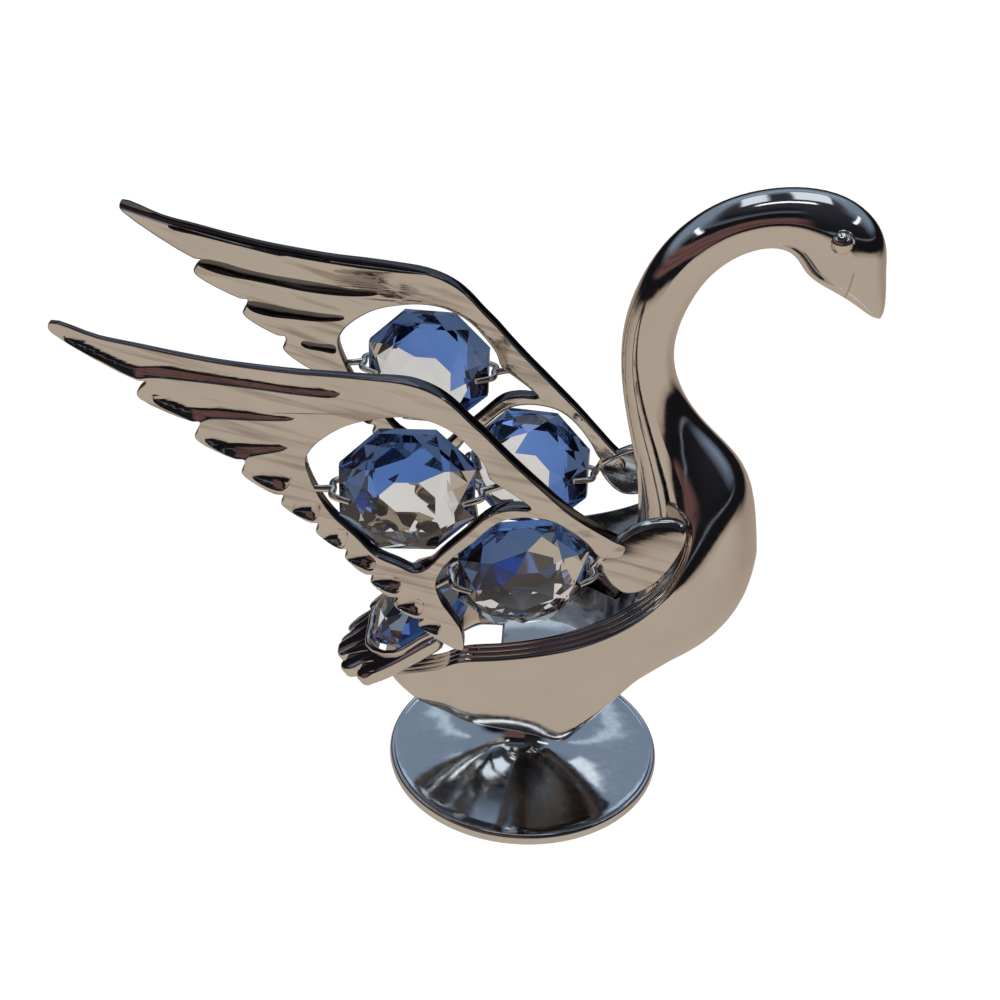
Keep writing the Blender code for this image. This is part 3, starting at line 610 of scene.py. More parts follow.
# %% Closing and rounding the body
work = bmesh.from_edit_mesh(body.data)
lowest_outside = ring_vertices(work, hull_loops[0])
lowest_inside = ring_vertices(work, hull_loops[-1])
for i in range(len(lowest_outside)):
    work.faces.new((lowest_outside[i], lowest_outside[i - 1], lowest_inside[i - 1], lowest_inside[i]))
bmesh.update_edit_mesh(body.data)
bpy.ops.mesh.select_all(action="SELECT")
bpy.ops.mesh.normals_make_consistent(inside=False)
leave_edit()
apply(body, "SUBSURF", levels=2, render_levels=2)
shade(body, 60.0)
print("body faces:", len(body.data.polygons))


# %% [markdown]
# ## Floor of the hull and eyes
# A bridge across the hull holds the stem. It starts as a cube, narrows towards the breast and has rounded
# edges. Each eye is a ball in a thin raised ring.

# %% Floor of the hull
select_only()
bpy.ops.mesh.primitive_cube_add(size=1.0, location=(0, 0, 0))
bridge = bpy.context.object
bridge.name = "hull_bridge"
bpy.ops.object.mode_set(mode="EDIT")
bpy.ops.transform.resize(value=(14.4 * MM, 2 * MM, 3.0 * MM), center_override=(0, 0, 0))
bpy.ops.transform.translate(value=(4.2 * MM, 0, 18.0 * MM))
work = bmesh.from_edit_mesh(bridge.data)
long_edges = [e for e in work.edges if abs(e.verts[0].co.x - e.verts[1].co.x) > 5 * MM]
bmesh.ops.subdivide_edges(work, edges=long_edges, cuts=3)
BRIDGE_WIDTHS = {-3.0: 10.5, 0.6: 10.5, 4.2: 9.3, 7.8: 7.2, 11.4: 4.6}
for vertex in work.verts:
    place = min(BRIDGE_WIDTHS, key=lambda x: abs(x * MM - vertex.co.x))
    vertex.co.y = BRIDGE_WIDTHS[place] * MM * (1 if vertex.co.y > 0 else -1)
bmesh.update_edit_mesh(bridge.data)
leave_edit()
apply(bridge, "BEVEL", width=0.3 * MM, segments=3)
shade(bridge)


# %% Eyes
def eye(side):
    select_only()
    centre = Vector((28.3 * MM, side * 2.95 * MM, NECK_HEIGHT - 1.0 * MM))
    bpy.ops.mesh.primitive_uv_sphere_add(segments=32, ring_count=20, radius=1.15 * MM, location=centre)
    ball = bpy.context.object
    bpy.ops.object.transform_apply(location=True)
    bpy.ops.mesh.primitive_torus_add(major_radius=1.12 * MM, minor_radius=0.24 * MM, major_segments=40,
                                     minor_segments=12, location=centre - Vector((0, side * 0.12 * MM, 0)),
                                     rotation=(pi / 2, 0, 0))
    ring = bpy.context.object
    bpy.ops.object.transform_apply(location=True, rotation=True)
    shade(ring, 180.0)
    shade(ball, 180.0)
    return join(ball, ring)


join(body, bridge, eye(1), eye(-1))
print("body size:", [round(v * 1000, 1) for v in body.dimensions])


# %% [markdown]
# ## The wings
# Each wing is one flat casting: long feathers, a tall opening that holds a stone, a strut that runs down to
# the breast, and scooped hollows between the feathers. A filled flat curve with a round bevel gives the
# plate its rolled edges, and the hollows are cut out of both faces. The plate is then bent round the hull.

# %% Outlines of the wing
FEATHER_TIPS = ((-46.8, 39.0), (-39.0, 32.1), (-33.7, 27.5), (-29.3, 23.5), (-25.5, 20.0), (-22.1, 16.7),
                (-19.2, 13.6), (-16.6, 10.6), (-14.2, 7.8), (-11.6, 5.2))
FEATHER_NOTCHES = ((-38.0, 33.5), (-33.1, 29.1), (-29.0, 24.9), (-25.2, 20.9), (-21.8, 17.6),
                   (-18.9, 14.5), (-16.3, 11.4), (-13.8, 8.6), (-11.2, 5.9))
INNER_EDGE = ((-6.9, 1.75), (-7.0, 4.2), (-8.2, 6.6), (-9.4, 8.6), (-9.8, 10.6), (-8.6, 13.2),
              (-6.2, 15.6), (-3.7, 18.1), (-1.8, 18.8), (0.6, 18.8), (2.3, 18.3), (4.2, 16.9), (5.8, 15.1),
              (7.2, 13.2))
LEADING_EDGE = ((9.8, 12.9), (9.6, 14.1), (8.4, 15.1), (6.7, 16.6), (4.5, 18.6), (2.7, 20.3), (0.4, 22.6),
                (-1.6, 24.6), (-3.5, 26.6), (-5.1, 28.4), (-6.8, 30.1), (-8.3, 31.7), (-9.8, 32.9),
                (-11.7, 33.8), (-13.7, 34.3), (-15.6, 34.5), (-19.5, 34.8), (-23.3, 35.0), (-27.2, 35.4),
                (-31.0, 35.9), (-34.8, 36.6), (-38.5, 37.4), (-42.2, 38.2), (-46.4, 39.6))
UPPER_HOLE = ((-22.9, 24.9), (-22.3, 26.4), (-20.8, 27.9), (-18.7, 29.2), (-16.0, 30.0), (-13.5, 30.3),
              (-11.0, 30.0), (-8.4, 28.7), (-6.6, 26.9), (-5.2, 25.0), (-4.6, 23.4), (-3.0, 22.2),
              (-1.4, 21.0), (-0.4, 20.0), (-2.4, 19.9), (-4.3, 19.3), (-7.0, 16.6), (-9.4, 14.1),
              (-11.0, 12.3), (-12.1, 12.0), (-13.7, 12.8), (-16.0, 14.0), (-18.1, 16.4), (-20.4, 18.9),
              (-22.0, 21.8))
ROOT_LOBE = ((7.0, 12.6), (9.3, 15.2), (12.4, 16.6), (15.4, 16.3), (16.0, 15.0), (15.2, 12.6),
             (13.6, 10.2), (11.6, 8.8), (9.8, 8.7), (8.2, 10.0))
WING_THICKNESS = 1.8 * MM
print("feathers:", len(FEATHER_TIPS))


def feather_outline():
    """The closed outline: along the feather ends, round the openings and back along the top."""
    points = []
    for tip, notch in zip(FEATHER_TIPS, FEATHER_NOTCHES + (None,)):
        points += [(tip[0] + 0.3, tip[1] + 0.65), (tip[0], tip[1]), (tip[0] + 0.4, tip[1] - 0.65)]
        if notch is not None:
            points += [(notch[0] - 0.9, notch[1] + 0.1), notch]
    return points + [*INNER_EDGE, *LEADING_EDGE[:-1]]


# %% Plates and bars
def poly_line(curve, line):
    spline = curve.splines.new("POLY")
    spline.points.add(len(line) - 1)
    for point, place in zip(spline.points, line):
        point.co = (*place, 1)
    return spline


def to_mesh(name, curve):
    made = bpy.data.objects.new(name, curve)
    bpy.context.scene.collection.objects.link(made)
    select_only(made)
    bpy.ops.object.convert(target="MESH")
    return bpy.context.object


def plate(name, loops, thickness, rounding, steps=4):
    """A filled flat curve with rolled edges, turned so that its height runs along Z."""
    curve = bpy.data.curves.new(name, "CURVE")
    curve.dimensions = "2D"
    curve.fill_mode = "BOTH"
    curve.extrude = thickness / 2 - rounding
    curve.bevel_depth = rounding
    curve.bevel_resolution = 4
    curve.offset = -rounding
    for loop in loops:
        line = smooth_line([(x * MM, z * MM, 0) for x, z in loop], steps, closed=True)
        poly_line(curve, line).use_cyclic_u = True
    made = to_mesh(name, curve)
    for vertex in made.data.vertices:
        x, y, z = vertex.co
        vertex.co = (x, z, y)
    tidy_mesh(made, 0.00001)
    return made


def bar(name, points, radii, steps=6, resolution=5):
    """A closed round bar through the points, with a radius in millimetres at each."""
    widths = smooth_line([Vector((r, 0, i)) for i, r in enumerate(radii)], steps)
    curve = bpy.data.curves.new(name, "CURVE")
    curve.dimensions = "3D"
    curve.bevel_depth = 1.0 * MM
    curve.bevel_resolution = resolution
    curve.use_fill_caps = True
    for point, width in zip(poly_line(curve, smooth_line(points, steps)).points, widths):
        point.radius = max(width.x, 0.03)
    made = to_mesh(name, curve)
    tidy_mesh(made, 0.000001)
    return made


# %% [markdown]
# The hollows between the feathers are long near the tip and short spoons lower down. Each runs out through
# the lower edge of its feather. The cutter for each is a flat plate with the hollow's outline, pressed in
# so far that the floor leans and faces a little upwards, which is why the hollows show another part of the
# room.

# %% Hollows: outlines in millimetres
HOLLOWS = (
    ((-45.4, 38.2), (-43.6, 37.9), (-41.9, 37.3), (-40.2, 36.6), (-38.1, 36.1), (-34.1, 35.3),
     (-29.6, 34.5), (-25.0, 33.8), (-20.5, 33.4), (-19.3, 32.9), (-19.8, 32.4), (-23.3, 32.5),
     (-27.4, 33.0), (-32.0, 33.5), (-36.5, 33.9), (-37.8, 33.9), (-38.8, 33.8), (-42.1, 35.6),
     (-45.3, 37.6)),
    ((-37.5, 32.1), (-35.8, 31.9), (-33.2, 31.5), (-28.4, 30.8), (-23.8, 30.0), (-24.1, 29.7),
     (-27.5, 29.5), (-32.2, 29.5), (-33.3, 29.0), (-34.5, 29.6), (-37.3, 31.2)),
    ((-32.6, 27.5), (-31.4, 27.7), (-28.1, 27.3), (-25.0, 27.0), (-24.6, 26.5), (-25.3, 26.1),
     (-28.5, 25.3), (-28.8, 25.0), (-30.1, 25.2), (-32.6, 26.9)),
    ((-28.1, 23.3), (-27.7, 23.6), (-25.2, 23.6), (-24.3, 23.1), (-25.2, 21.5), (-26.5, 21.7),
     (-28.2, 22.9)),
    ((-24.3, 19.4), (-23.9, 20.1), (-21.9, 20.2), (-21.5, 19.7), (-22.2, 18.0), (-23.3, 18.3),
     (-24.3, 18.9)),
    ((-21.6, 15.9), (-20.6, 17.0), (-19.3, 17.1), (-18.8, 16.6), (-19.5, 14.6), (-20.6, 15.1),
     (-21.7, 15.5)),
    ((-18.8, 13.6), (-18.3, 14.1), (-17.3, 14.3), (-16.0, 13.3), (-16.4, 12.0), (-17.8, 12.5),
     (-18.9, 13.3)),
    ((-16.4, 10.9), (-15.7, 11.4), (-14.6, 11.6), (-13.4, 10.6), (-13.8, 9.2), (-15.1, 9.5), (-16.4, 10.5)),
    ((-13.8, 7.8), (-13.3, 8.5), (-12.3, 8.8), (-11.0, 8.0), (-11.5, 6.4), (-12.7, 6.7), (-13.8, 7.4)),
    ((-11.4, 5.1), (-11.0, 5.7), (-10.3, 5.9), (-9.2, 5.2), (-9.6, 3.9), (-10.4, 4.2), (-11.4, 4.7)),
)
INNER_HOLLOWS = (
    ((-41.4, 37.5), (-37.9, 37.0), (-33.5, 36.1), (-28.6, 35.1), (-28.6, 34.8), (-33.5, 35.5),
     (-37.9, 36.3), (-41.4, 37.0)),
    ((-38.6, 33.0), (-38.0, 33.6), (-35.9, 33.5), (-33.2, 32.9), (-30.6, 32.5), (-27.1, 32.2),
     (-23.9, 31.9), (-21.3, 31.6), (-18.6, 31.5), (-18.4, 31.2), (-19.2, 30.9), (-21.9, 30.6),
     (-24.5, 30.6), (-27.2, 30.8), (-30.1, 31.2), (-32.5, 31.5), (-35.2, 31.8), (-37.3, 32.3)),
    ((-33.3, 28.5), (-32.9, 29.0), (-30.7, 28.9), (-27.8, 28.5), (-24.8, 28.3), (-22.2, 28.1),
     (-22.3, 27.7), (-24.9, 27.2), (-28.1, 27.2), (-30.8, 27.3), (-32.7, 27.8)),
    ((-27.2, 24.1), (-27.0, 24.6), (-25.2, 24.5), (-23.3, 24.4), (-23.3, 23.4), (-25.0, 23.5),
     (-26.6, 23.7)),
    *HOLLOWS[4:])
EDGE_COVE = ((-47.6, 39.8), (-42.2, 38.3), (-38.5, 37.5), (-31.0, 36.0), (-23.3, 35.1), (-17.0, 34.7),
             (-12.5, 34.2))
CUTTER_HALF = 1.0 * MM
HOLLOW_FILLET = 0.16 * MM
HOLLOW_LIP = 0.08 * MM
HOLLOW_DEEPEST = 0.86 * MM
WING_SPREAD, WING_FLARE, WING_TURN_IN = 11.5 * MM, 0.062, 0.42
THIN_BEHIND, THINNING = -16.0 * MM, 18.0
print("hollows on the outer and inner face:", len(HOLLOWS), len(INNER_HOLLOWS))


def thinning(x):
    """Share of its thickness that the plate loses towards the feather tips."""
    return THINNING * max(0.0, THIN_BEHIND - x)


def crossings(outline, x):
    """Lowest and highest place of an outline at one x."""
    left, right = min(p[0] for p in outline) + 0.02, max(p[0] for p in outline) - 0.02
    x = min(max(x, left), right)
    heights = []
    for a, b in zip(outline, outline[1:] + outline[:1]):
        if a[0] != b[0] and min(a[0], b[0]) <= x <= max(a[0], b[0]):
            heights.append(a[1] + (b[1] - a[1]) * (x - a[0]) / (b[0] - a[0]))
    return min(heights) * MM, max(heights) * MM


def hollow(outline, face, lean):
    """A cutter for one hollow. Its floor leans, and is deepest at the upper edge."""
    made = plate("hollow", (outline,), 2 * CUTTER_HALF, HOLLOW_FILLET)
    left, right = min(p[0] for p in outline), max(p[0] for p in outline)
    bottom, top = min(p[1] for p in outline), max(p[1] for p in outline)
    edit(made)
    for axis, start, end, step in ((0, left, right, 0.9), (2, bottom, top, 0.35)):
        for i in range(1, int((end - start) / step) + 1):
            place, facing = [0.0, 0.0, 0.0], [0, 0, 0]
            place[axis], facing[axis] = (start + i * step) * MM, 1
            bpy.ops.mesh.select_all(action="SELECT")
            bpy.ops.mesh.bisect(plane_co=place, plane_no=facing)
    leave_edit()
    for vertex in made.data.vertices:
        x, y, z = vertex.co
        low, high = crossings(outline, x / MM)
        up = min(max(z - low, 0.0), high - low)
        slope = tan(lean) / (1.0 - thinning(x)) * (1.25 - 0.6 * up / max(high - low, 0.3 * MM))
        depth = min(HOLLOW_LIP + slope * up, HOLLOW_DEEPEST)
        vertex.co.y = y + face * (WING_THICKNESS / 2 + CUTTER_HALF - depth)
    return made


def cove(path, radii):
    """A round bar half sunk in the inner face, for the groove below the top edge."""
    return bar("cove", [(x * MM, -WING_THICKNESS / 2, z * MM) for x, z in path], radii, 6, 4)


# %% Bending and tapering
def wing_plane(x):
    """Distance of the wing from the middle plane: it flares out behind and turns in towards the breast."""
    ahead_of_turn = x - 4.0 * MM
    soft = 1.2 * MM
    turned = WING_TURN_IN * (sqrt(ahead_of_turn ** 2 + soft ** 2) + ahead_of_turn) / 2
    return WING_SPREAD - WING_FLARE * x - max(turned - WING_TURN_IN * soft * 0.1, 0.0)


def set_in_place(piece, side, plane_at):
    """Lay a flat plate on its surface, thin it towards the tips and lift it to the rim."""
    for vertex in piece.data.vertices:
        x, y, z = vertex.co
        vertex.co = (x, side * (plane_at(x, z) + y * (1.0 - thinning(x))), z + RIM_HEIGHT)


# %% One wing, flat
def flat_wing():
    """The plate with its hollows, and with cross cuts near the breast, where it bends. Edges and inner hollows
    get a dark plating as painted shade.
    """
    wing = plate("wing", (feather_outline(), UPPER_HOLE), WING_THICKNESS, 0.24 * MM)
    cutters = [hollow(outline, 1, radians(24.0)) for outline in HOLLOWS]
    cutters += [hollow(outline, -1, radians(15.0)) for outline in INNER_HOLLOWS]
    cutters.append(cove(EDGE_COVE, (0.7, 0.8, 0.8, 0.8, 0.75, 0.7, 0.2)))
    cutter = join(*cutters)
    apply(wing, "BOOLEAN", operation="DIFFERENCE", solver="EXACT", object=cutter, use_self=True)
    bpy.data.objects.remove(cutter)
    tidy_mesh(wing)
    for i in range(24):
        edit(wing)
        bpy.ops.mesh.bisect(plane_co=((1.2 + 0.4 * i) * MM, 0, 0), plane_no=(1, 0, 0))
    leave_edit()
    wing.data.materials.append(wing_metal)
    wing.data.materials.append(painted_shade_edge_metal)
    # Painted shade: rolled edges, steep walls and the hollows sunk in the inner face take the dark plating.
    for polygon in wing.data.polygons:
        painted_shade_dips = -WING_THICKNESS / 2 + 0.02 * MM < polygon.center.y < 0
        polygon.material_index = 1 if abs(polygon.normal.y) < 0.62 or painted_shade_dips else 0
    return wing


# %% Claws and small fittings
STONE_REACH = 6.8 * MM
STONE_PLACES = {"upper": (-12.8, 21.9, 0.7, 0.062, 0.0),
                "lower": (-0.9, 10.9, -1.0, radians(10), radians(-8))}


def stone_frame(level, side):
    """Centre, facing direction and sideways direction of a stone in the wing."""
    x, height, outwards, turn, tilt = STONE_PLACES[level]
    distance = WING_SPREAD - WING_FLARE * x * MM + outwards * MM
    centre = Vector((x * MM, side * distance, height * MM + RIM_HEIGHT))
    normal = Vector((sin(turn) * cos(tilt), side * cos(turn) * cos(tilt), sin(tilt)))
    across = (Vector((1, 0, 0)) - normal * normal.x).normalized()
    return centre, normal, across


def claw(frame_of_stone, end, side, root):
    """A wire clip bent over the stone's edge, and the bar that ties it to the wing."""
    centre, normal, across = frame_of_stone
    edge = centre + across * end * (STONE_REACH + 0.62 * MM)
    back = centre + across * end * (STONE_REACH - 1.2 * MM)
    clip = bar("clip", [back - normal * 2.5 * MM, edge - normal * 1.3 * MM, edge, edge + normal * 1.3 * MM,
                        back + normal * 2.5 * MM], (0.28, 0.36, 0.4, 0.36, 0.28))
    start = Vector((root[0] * MM, side * wing_plane(root[0] * MM), root[1] * MM + RIM_HEIGHT))
    arm = bar("arm", [start, start.lerp(edge, 0.5) + normal * 0.15 * MM, edge], (0.5, 0.36, 0.42))
    return join(clip, arm)


# %% Both wings
def make_wing(flat, side, word):
    """One wing from the flat plate, with its root lobe and the four claws that grip the stones."""
    wing = flat.copy()
    wing.data = flat.data.copy()
    wing.name = "swan_wing_" + word
    bpy.context.scene.collection.objects.link(wing)
    set_in_place(wing, side, lambda x, z: wing_plane(x))
    lobe = plate("lobe", (ROOT_LOBE,), 0.8 * WING_THICKNESS, 0.55 * MM)
    set_in_place(lobe, side, lambda x, z: 12.7 * MM - 0.22 * z - 0.1 * x)
    fittings = [lobe]
    for level, end, root in (("upper", -1, (-23.3, 21.6)), ("upper", 1, (-2.2, 22.9)),
                             ("lower", -1, (-11.0, 9.2)), ("lower", 1, (7.7, 13.5))):
        fittings.append(claw(stone_frame(level, side), end, side, root))
    tidy_mesh(wing)
    shade(wing, 32.0)
    for piece in fittings:
        piece.data.materials.append(wing_metal)
        tidy_mesh(piece)
        shade(piece, 50.0)
    return join(wing, *fittings)


flat = flat_wing()
wing_right = make_wing(flat, -1, "right")
wing_left = make_wing(flat, 1, "left")
bpy.data.objects.remove(flat)
print("wing faces:", len(wing_right.data.polygons), len(wing_left.data.polygons))


# %% [markdown]
# ## The tail
# The tail is a fan of five blunt feathers below the wings. A raised U-shaped seat holds its stone. It is
# cut as the wings are, from a flat plate, and then laid on its slope.

# %% Tail outline and seat
TAIL_SLOPE = radians(36.0)
FAN_EDGE = ((0.2, 8.7), (3.0, 8.9), (6.0, 8.7), (8.6, 8.2), (10.6, 7.6), (11.4, 6.7), (11.2, 5.8),
            (10.7, 5.3), (12.5, 5.1), (13.8, 4.3), (14.1, 3.3), (13.2, 2.4), (14.4, 1.9), (15.0, 0.8))
SEAT = ((0.2, 7.35), (2.2, 7.35), (5.5, 7.2), (9.4, 3.26), (9.5, 0.0))
TAIL_GROOVES = (((7.9, 8.2), (9.6, 7.9), (12.2, 8.0)), ((8.6, 6.3), (10.0, 6.0), (12.6, 5.4)),
                ((9.6, 4.0), (11.4, 3.5), (14.4, 2.5)), ((10.4, 1.4), (12.4, 1.2), (15.4, 1.0)))


def fan_place(along, across, above):
    droop = 1.8 * MM * (across / (8.9 * MM)) ** 2 * (max(along, 0.0) / (15.0 * MM)) ** 1.5
    return Vector((-9.5 * MM - along * cos(TAIL_SLOPE) - above * sin(TAIL_SLOPE), across,
                   RIM_HEIGHT - 0.4 * MM - along * sin(TAIL_SLOPE) + above * cos(TAIL_SLOPE) - droop))


# %% Tail shape
def both_halves(half):
    return [(s, -t) for s, t in half[:-1]] + [(s, t) for s, t in reversed(half)]


outline = list(FAN_EDGE) + [(s, -t) for s, t in reversed(FAN_EDGE)]
tail = plate("swan_tail", (outline + both_halves(SEAT),), 1.6 * MM, 0.4 * MM, 3)
cutters = [bar("finger_groove", [(s * MM, face * 0.95 * MM, half * t * MM) for s, t in path],
               (0.12, 0.42, 0.5), 4, 3) for path in TAIL_GROOVES for half in (1, -1) for face in (1, -1)]
cutter = join(*cutters)
apply(tail, "BOOLEAN", operation="DIFFERENCE", solver="EXACT", object=cutter, use_self=True)
bpy.data.objects.remove(cutter)
tidy_mesh(tail)
wider = [(s, t + 0.75) if t > 5 else (s + 0.6, t * 1.1) for s, t in SEAT[:-1]] + [(10.25, 0.0)]
inside = [(s, -t) for s, t in both_halves(SEAT)]
seat_band = plate("seat_band", (both_halves(wider) + inside,), 2.0 * MM, 0.3 * MM, 3)
for vertex in seat_band.data.vertices:
    vertex.co.y += 0.45 * MM
for piece in (tail, seat_band):
    for vertex in piece.data.vertices:
        vertex.co = fan_place(vertex.co.x, vertex.co.z, vertex.co.y)
    tidy_mesh(piece)
    shade(piece, 35.0)
join(tail, seat_band)
print("tail faces:", len(tail.data.polygons))


# %% [markdown]
# ## The stones
# Each stone is an octagon cut alike on both faces: a girdle, a ring of steep facets, a ring of flatter ones
# and a table. A flat octagon is extruded, made smaller and turned by half a facet each time, and the
# squares are split into triangles, which gives the pointed facets. The broad facets turned towards one side
# are pale glass and the others blue, so two kinds of glass are used: the pale glass is painted light, for
# the white that shows through those facets.

# %% Stone sizes
STONE_ACROSS = 13.6 * MM
STONE_THICKNESS = 6.4 * MM
STONE_GIRDLE = 1.0 * MM
CORNER = STONE_ACROSS / 2 / cos(pi / 8)
FACET_RINGS = ((0.68, 0.70, pi / 8), (0.32, 0.60, -pi / 8))
print("stones are", STONE_ACROSS / MM, "mm across the flats")


# %% Cutting one stone
def turn_selected(angle):
    """Turn the selected vertices about Z."""
    work = bmesh.from_edit_mesh(bpy.context.object.data)
    turn = Matrix.Rotation(angle, 3, "Z")
    for vertex in work.verts:
        if vertex.select:
            vertex.co = turn @ vertex.co
    bmesh.update_edit_mesh(bpy.context.object.data)


def cut_stone(name, centre, normal, across, painted_light_side):
    """One stone. The facet rings give share of the height, smaller size and turn of each step."""
    select_only()
    bpy.ops.mesh.primitive_circle_add(vertices=8, radius=CORNER, fill_type="NGON")
    stone = bpy.context.object
    stone.name = name
    bpy.ops.object.mode_set(mode="EDIT")
    bpy.ops.transform.translate(value=(0, 0, -STONE_GIRDLE / 2))
    turn_selected(pi / 8)
    bpy.ops.mesh.extrude_region_move(TRANSFORM_OT_translate={"value": (0, 0, STONE_GIRDLE)})
    crown = (STONE_THICKNESS - STONE_GIRDLE) / 2
    for face in (1, -1):
        bpy.ops.mesh.select_all(action="DESELECT")
        work = bmesh.from_edit_mesh(stone.data)
        for flat in work.faces:
            if len(flat.verts) == 8 and flat.calc_center_median().z * face > 0:
                flat.select = True
        bmesh.update_edit_mesh(stone.data)
        height = face * STONE_GIRDLE / 2
        for share, ratio, turn in FACET_RINGS:
            rise = face * crown * share
            bpy.ops.mesh.extrude_region_move(TRANSFORM_OT_translate={"value": (0, 0, rise)})
            height += rise
            bpy.ops.transform.resize(value=(ratio, ratio, 1.0), center_override=(0, 0, height))
            turn_selected(turn)
    bpy.ops.mesh.select_all(action="SELECT")
    bpy.ops.mesh.quads_convert_to_tris(quad_method="SHORTEST_DIAGONAL", ngon_method="BEAUTY")
    bpy.ops.mesh.normals_make_consistent(inside=False)
    bpy.ops.mesh.tris_convert_to_quads(face_threshold=radians(0.5), shape_threshold=radians(180))
    leave_edit()
    upward = normal.cross(across)
    place = Matrix((across, upward, normal)).transposed().to_4x4()
    place.translation = centre
    stone.data.transform(place)
    stone.visible_glossy = False
    stone.data.materials.append(blue_glass)
    stone.data.materials.append(pale_painted_light_glass)
    # Painted light: broad facets turned towards the given side take the pale glass, the rest the blue.
    for polygon in stone.data.polygons:
        broad = abs(polygon.normal.dot(normal)) > 0.8
        polygon.material_index = 1 if broad and polygon.normal.dot(painted_light_side) > -0.1 else 0
    return stone


# %% The five stones
def wing_stone(side, word, level, painted_light_side):
    name = "stone_%s_%s" % (word, level)
    stone = cut_stone(name, *stone_frame(level, side), Vector(painted_light_side).normalized())
    return stone, "crystal_%s_%s" % (word, level), name


set_stones = [wing_stone(-1, "right", "upper", (0.55, 0.0, -0.8)),
              wing_stone(-1, "right", "lower", (0.7, 0.0, -0.6)),
              wing_stone(1, "left", "upper", (-0.6, 0.0, -0.75)),
              wing_stone(1, "left", "lower", (-0.75, 0.0, -0.6))]
seat_normal = Vector((-sin(TAIL_SLOPE), 0, cos(TAIL_SLOPE)))
set_stones.append((cut_stone("stone_tail", fan_place(2.2 * MM, 0.0, 0.9 * MM), seat_normal, Vector((0, 1, 0)),
                             Vector((0.3, -0.7, 0.3)).normalized()), "crystal_tail", "stone_tail"))
print("stones:", ", ".join(stone.name for stone, node, slot in set_stones))


# %% [markdown]
# ## Putting the pieces in place of the plain solids
# Each finished piece takes its finish, rides on the figurine's one body and hides the plain solid it stands
# for. The downward faces of the hull's underside, above the foot, get a dark and rougher plating: painted
# shade.

# %% Dress the pieces
UNDERSIDE_BELOW = 17 * MM
# Painted shade: faces low on the hull that look down take the dark second plating.
for polygon in body.data.polygons:
    polygon.material_index = 1 if polygon.normal.z < -0.72 and polygon.center.z < UNDERSIDE_BELOW else 0
dress(foot, "foot", "foot_metal", foot_metal)
dress(body, "body", "body_metal", body_metal, underside_painted_shade_metal)
dress(wing_right, "wing_right", "wing_right_metal")
dress(wing_left, "wing_left", "wing_left_metal")
dress(tail, "tail", "tail_metal", tail_metal)
for stone, node, slot in set_stones:
    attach(stone, "root")
    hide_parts(node)


# %% [markdown]
# ## Floor and light
# The photo has a pure white ground with hardly any shadow. The floor is a large sheet that glows white, and
# it is kept out of the metal's reflections, so that the room can be painted by direction instead. Polished
# metal needs something to reflect: beige table below the horizon, a dark room with one warm brown band in
# front, a dark side wall, pale blue panels overhead and a grey-blue wall behind.

# %% Floor
select_only()
bpy.ops.mesh.primitive_plane_add(size=6.0, location=(0, 0, -0.0001))
floor = bpy.context.object
floor.name = "floor"
floor.visible_glossy = False
white, _, shader, _ = new_material("white_sweep")
set_inputs(shader, {"Base Color": (0.2, 0.2, 0.2, 1), "Roughness": 0.9, "Specular IOR Level": 0.0,
                    "Emission Color": (1, 1, 1, 1), "Emission Strength": 1.0})
floor.data.materials.append(white)


# %% Backdrop
# A wide white dome closes the picture at the lower angles. Only a direct look can see it.
select_only()
bpy.ops.mesh.primitive_uv_sphere_add(segments=48, ring_count=24, radius=2.8)
backdrop = bpy.context.object
backdrop.name = "backdrop"
for kind in ("glossy", "transmission", "diffuse", "shadow"):
    setattr(backdrop, "visible_" + kind, False)
backdrop.data.materials.append(white)
print("stage:", floor.name, "and", backdrop.name)


# %% Room by direction
world = bpy.data.worlds.new("studio")
bpy.context.scene.world = world
world.use_nodes = True
tree = world.node_tree
background = tree.nodes["Background"]
direction = tree.nodes.new("ShaderNodeTexCoord").outputs["Generated"]
split = tree.nodes.new("ShaderNodeSeparateXYZ")
tree.links.new(direction, split.inputs["Vector"])


def scaled(value, factor, offset):
    """Value times factor plus offset, kept between zero and one."""
    return maths(tree, "ADD", maths(tree, "MULTIPLY", value, factor), offset, True)


BEIGE = (0.52, 0.445, 0.36)
DUSK = (0.38, 0.30, 0.24)
BROWN = (0.14, 0.075, 0.07)
UMBER = (0.05, 0.028, 0.03)
BLACK = (0.008, 0.008, 0.01)
SKY = (0.80, 0.92, 1.0)
WALL = (0.20, 0.26, 0.35)
CEILING = (0.03, 0.03, 0.04)


def at(z):
    """Place on the height ramp of a direction whose upward part is z."""
    return 0.5 + 0.5 * z


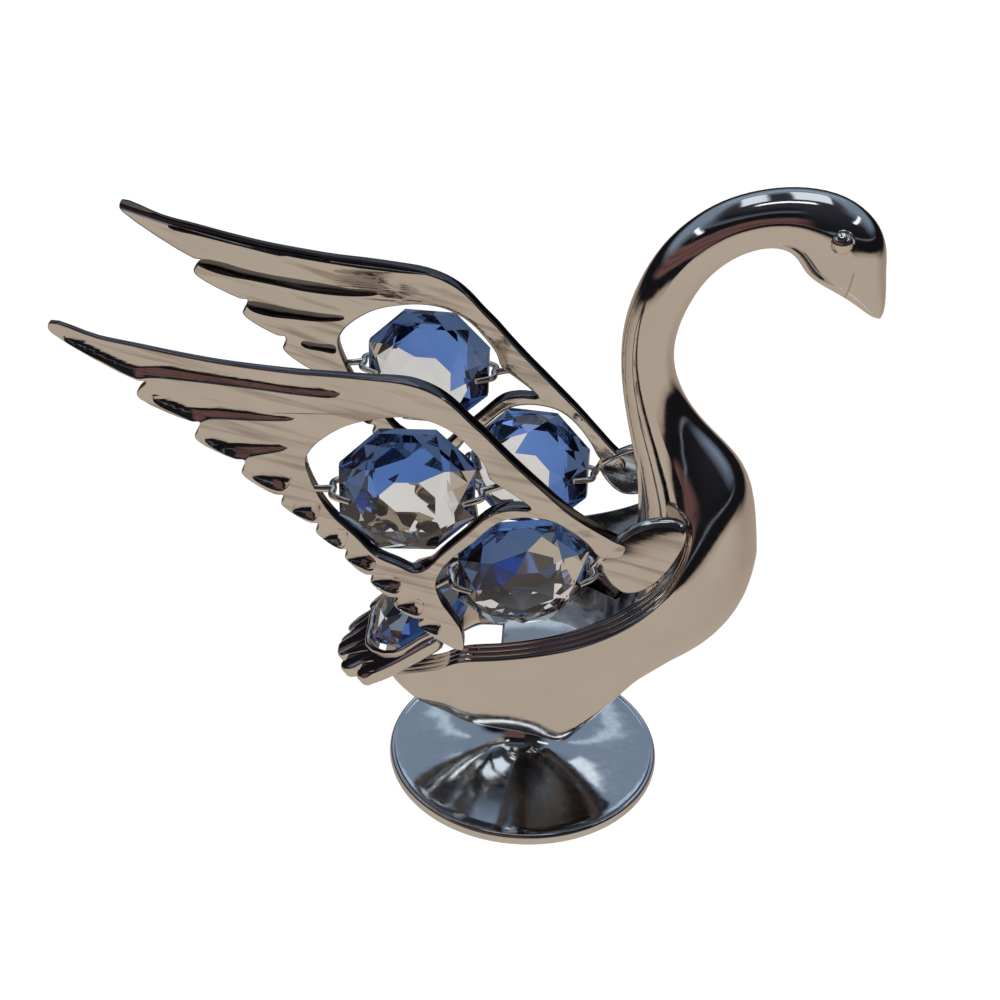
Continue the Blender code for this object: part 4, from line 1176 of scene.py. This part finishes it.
height = scaled(split.outputs["Z"], 0.5, 0.5)
front = ramp(tree, height, ((0.0, BEIGE), (at(-0.22), BEIGE), (at(-0.14), DUSK), (at(-0.10), BLACK),
                            (at(0.04), BLACK), (at(0.08), BROWN), (at(0.15), BROWN), (at(0.17), UMBER),
                            (at(0.19), BROWN), (at(0.27), BROWN), (at(0.29), UMBER), (at(0.31), BROWN),
                            (at(0.40), BROWN), (at(0.44), BLACK), (at(0.62), BLACK),
                            (at(0.66), (0.10, 0.12, 0.16)), (at(0.78), BLACK),
                            (at(0.9), CEILING)))
behind = ramp(tree, height, ((0.0, BEIGE), (at(-0.25), DUSK), (at(-0.12), BLACK), (at(0.2), BLACK),
                             (at(0.36), WALL), (at(0.72), WALL), (at(0.82), (0.05, 0.06, 0.08)),
                             (at(0.9), CEILING)))
rearward = scaled(split.outputs["Y"], 2.0, 0.5)
sideways = scaled(split.outputs["X"], 8.0, -0.3)
side_wall = ramp(tree, height, ((0.0, BEIGE), (at(-0.22), BEIGE), (at(-0.12), DUSK), (at(-0.07), BLACK),
                                (at(0.16), BLACK), (at(0.19), (0.16, 0.18, 0.22)), (at(0.22), BLACK),
                                (at(0.9), CEILING)))
room = blend(tree, rearward, blend(tree, sideways, front, side_wall), behind)


def panel(middle, half_width, half_length):
    """One where the direction points at a bright panel overhead, and zero beside it."""
    upward = maths(tree, "MAXIMUM", split.outputs["Z"], 0.05)
    inside = 1.0
    for axis, centre, half in (("X", middle[0], half_width), ("Y", middle[1], half_length)):
        place = maths(tree, "DIVIDE", split.outputs[axis], upward)
        away = maths(tree, "ABSOLUTE", maths(tree, "SUBTRACT", place, centre))
        edge = maths(tree, "MULTIPLY", maths(tree, "SUBTRACT", half, away), 25.0, True)
        inside = maths(tree, "MULTIPLY", inside, edge)
    return inside


# %% Bright panels overhead
PANELS = (((-0.31, 0.50), 0.15, 0.46, SKY), ((0.27, 0.50), 0.25, 0.46, SKY),
          ((0.0, -0.15), 0.30, 0.07, (1.6, 1.7, 1.8)), ((-1.3, -0.3), 0.10, 0.5, (1.2, 1.3, 1.4)),
          ((1.4, -0.2), 0.12, 0.5, (1.2, 1.3, 1.4)), ((0.1, 1.4), 0.9, 0.10, (0.5, 0.62, 0.75)))
for middle, half_width, half_length, colour in PANELS:
    room = blend(tree, panel(middle, half_width, half_length), room, colour)
tree.links.new(room, background.inputs["Color"])
background.inputs["Strength"].default_value = 1.0
bpy.context.scene.view_settings.view_transform = "Standard"
print("room nodes:", len(tree.nodes))
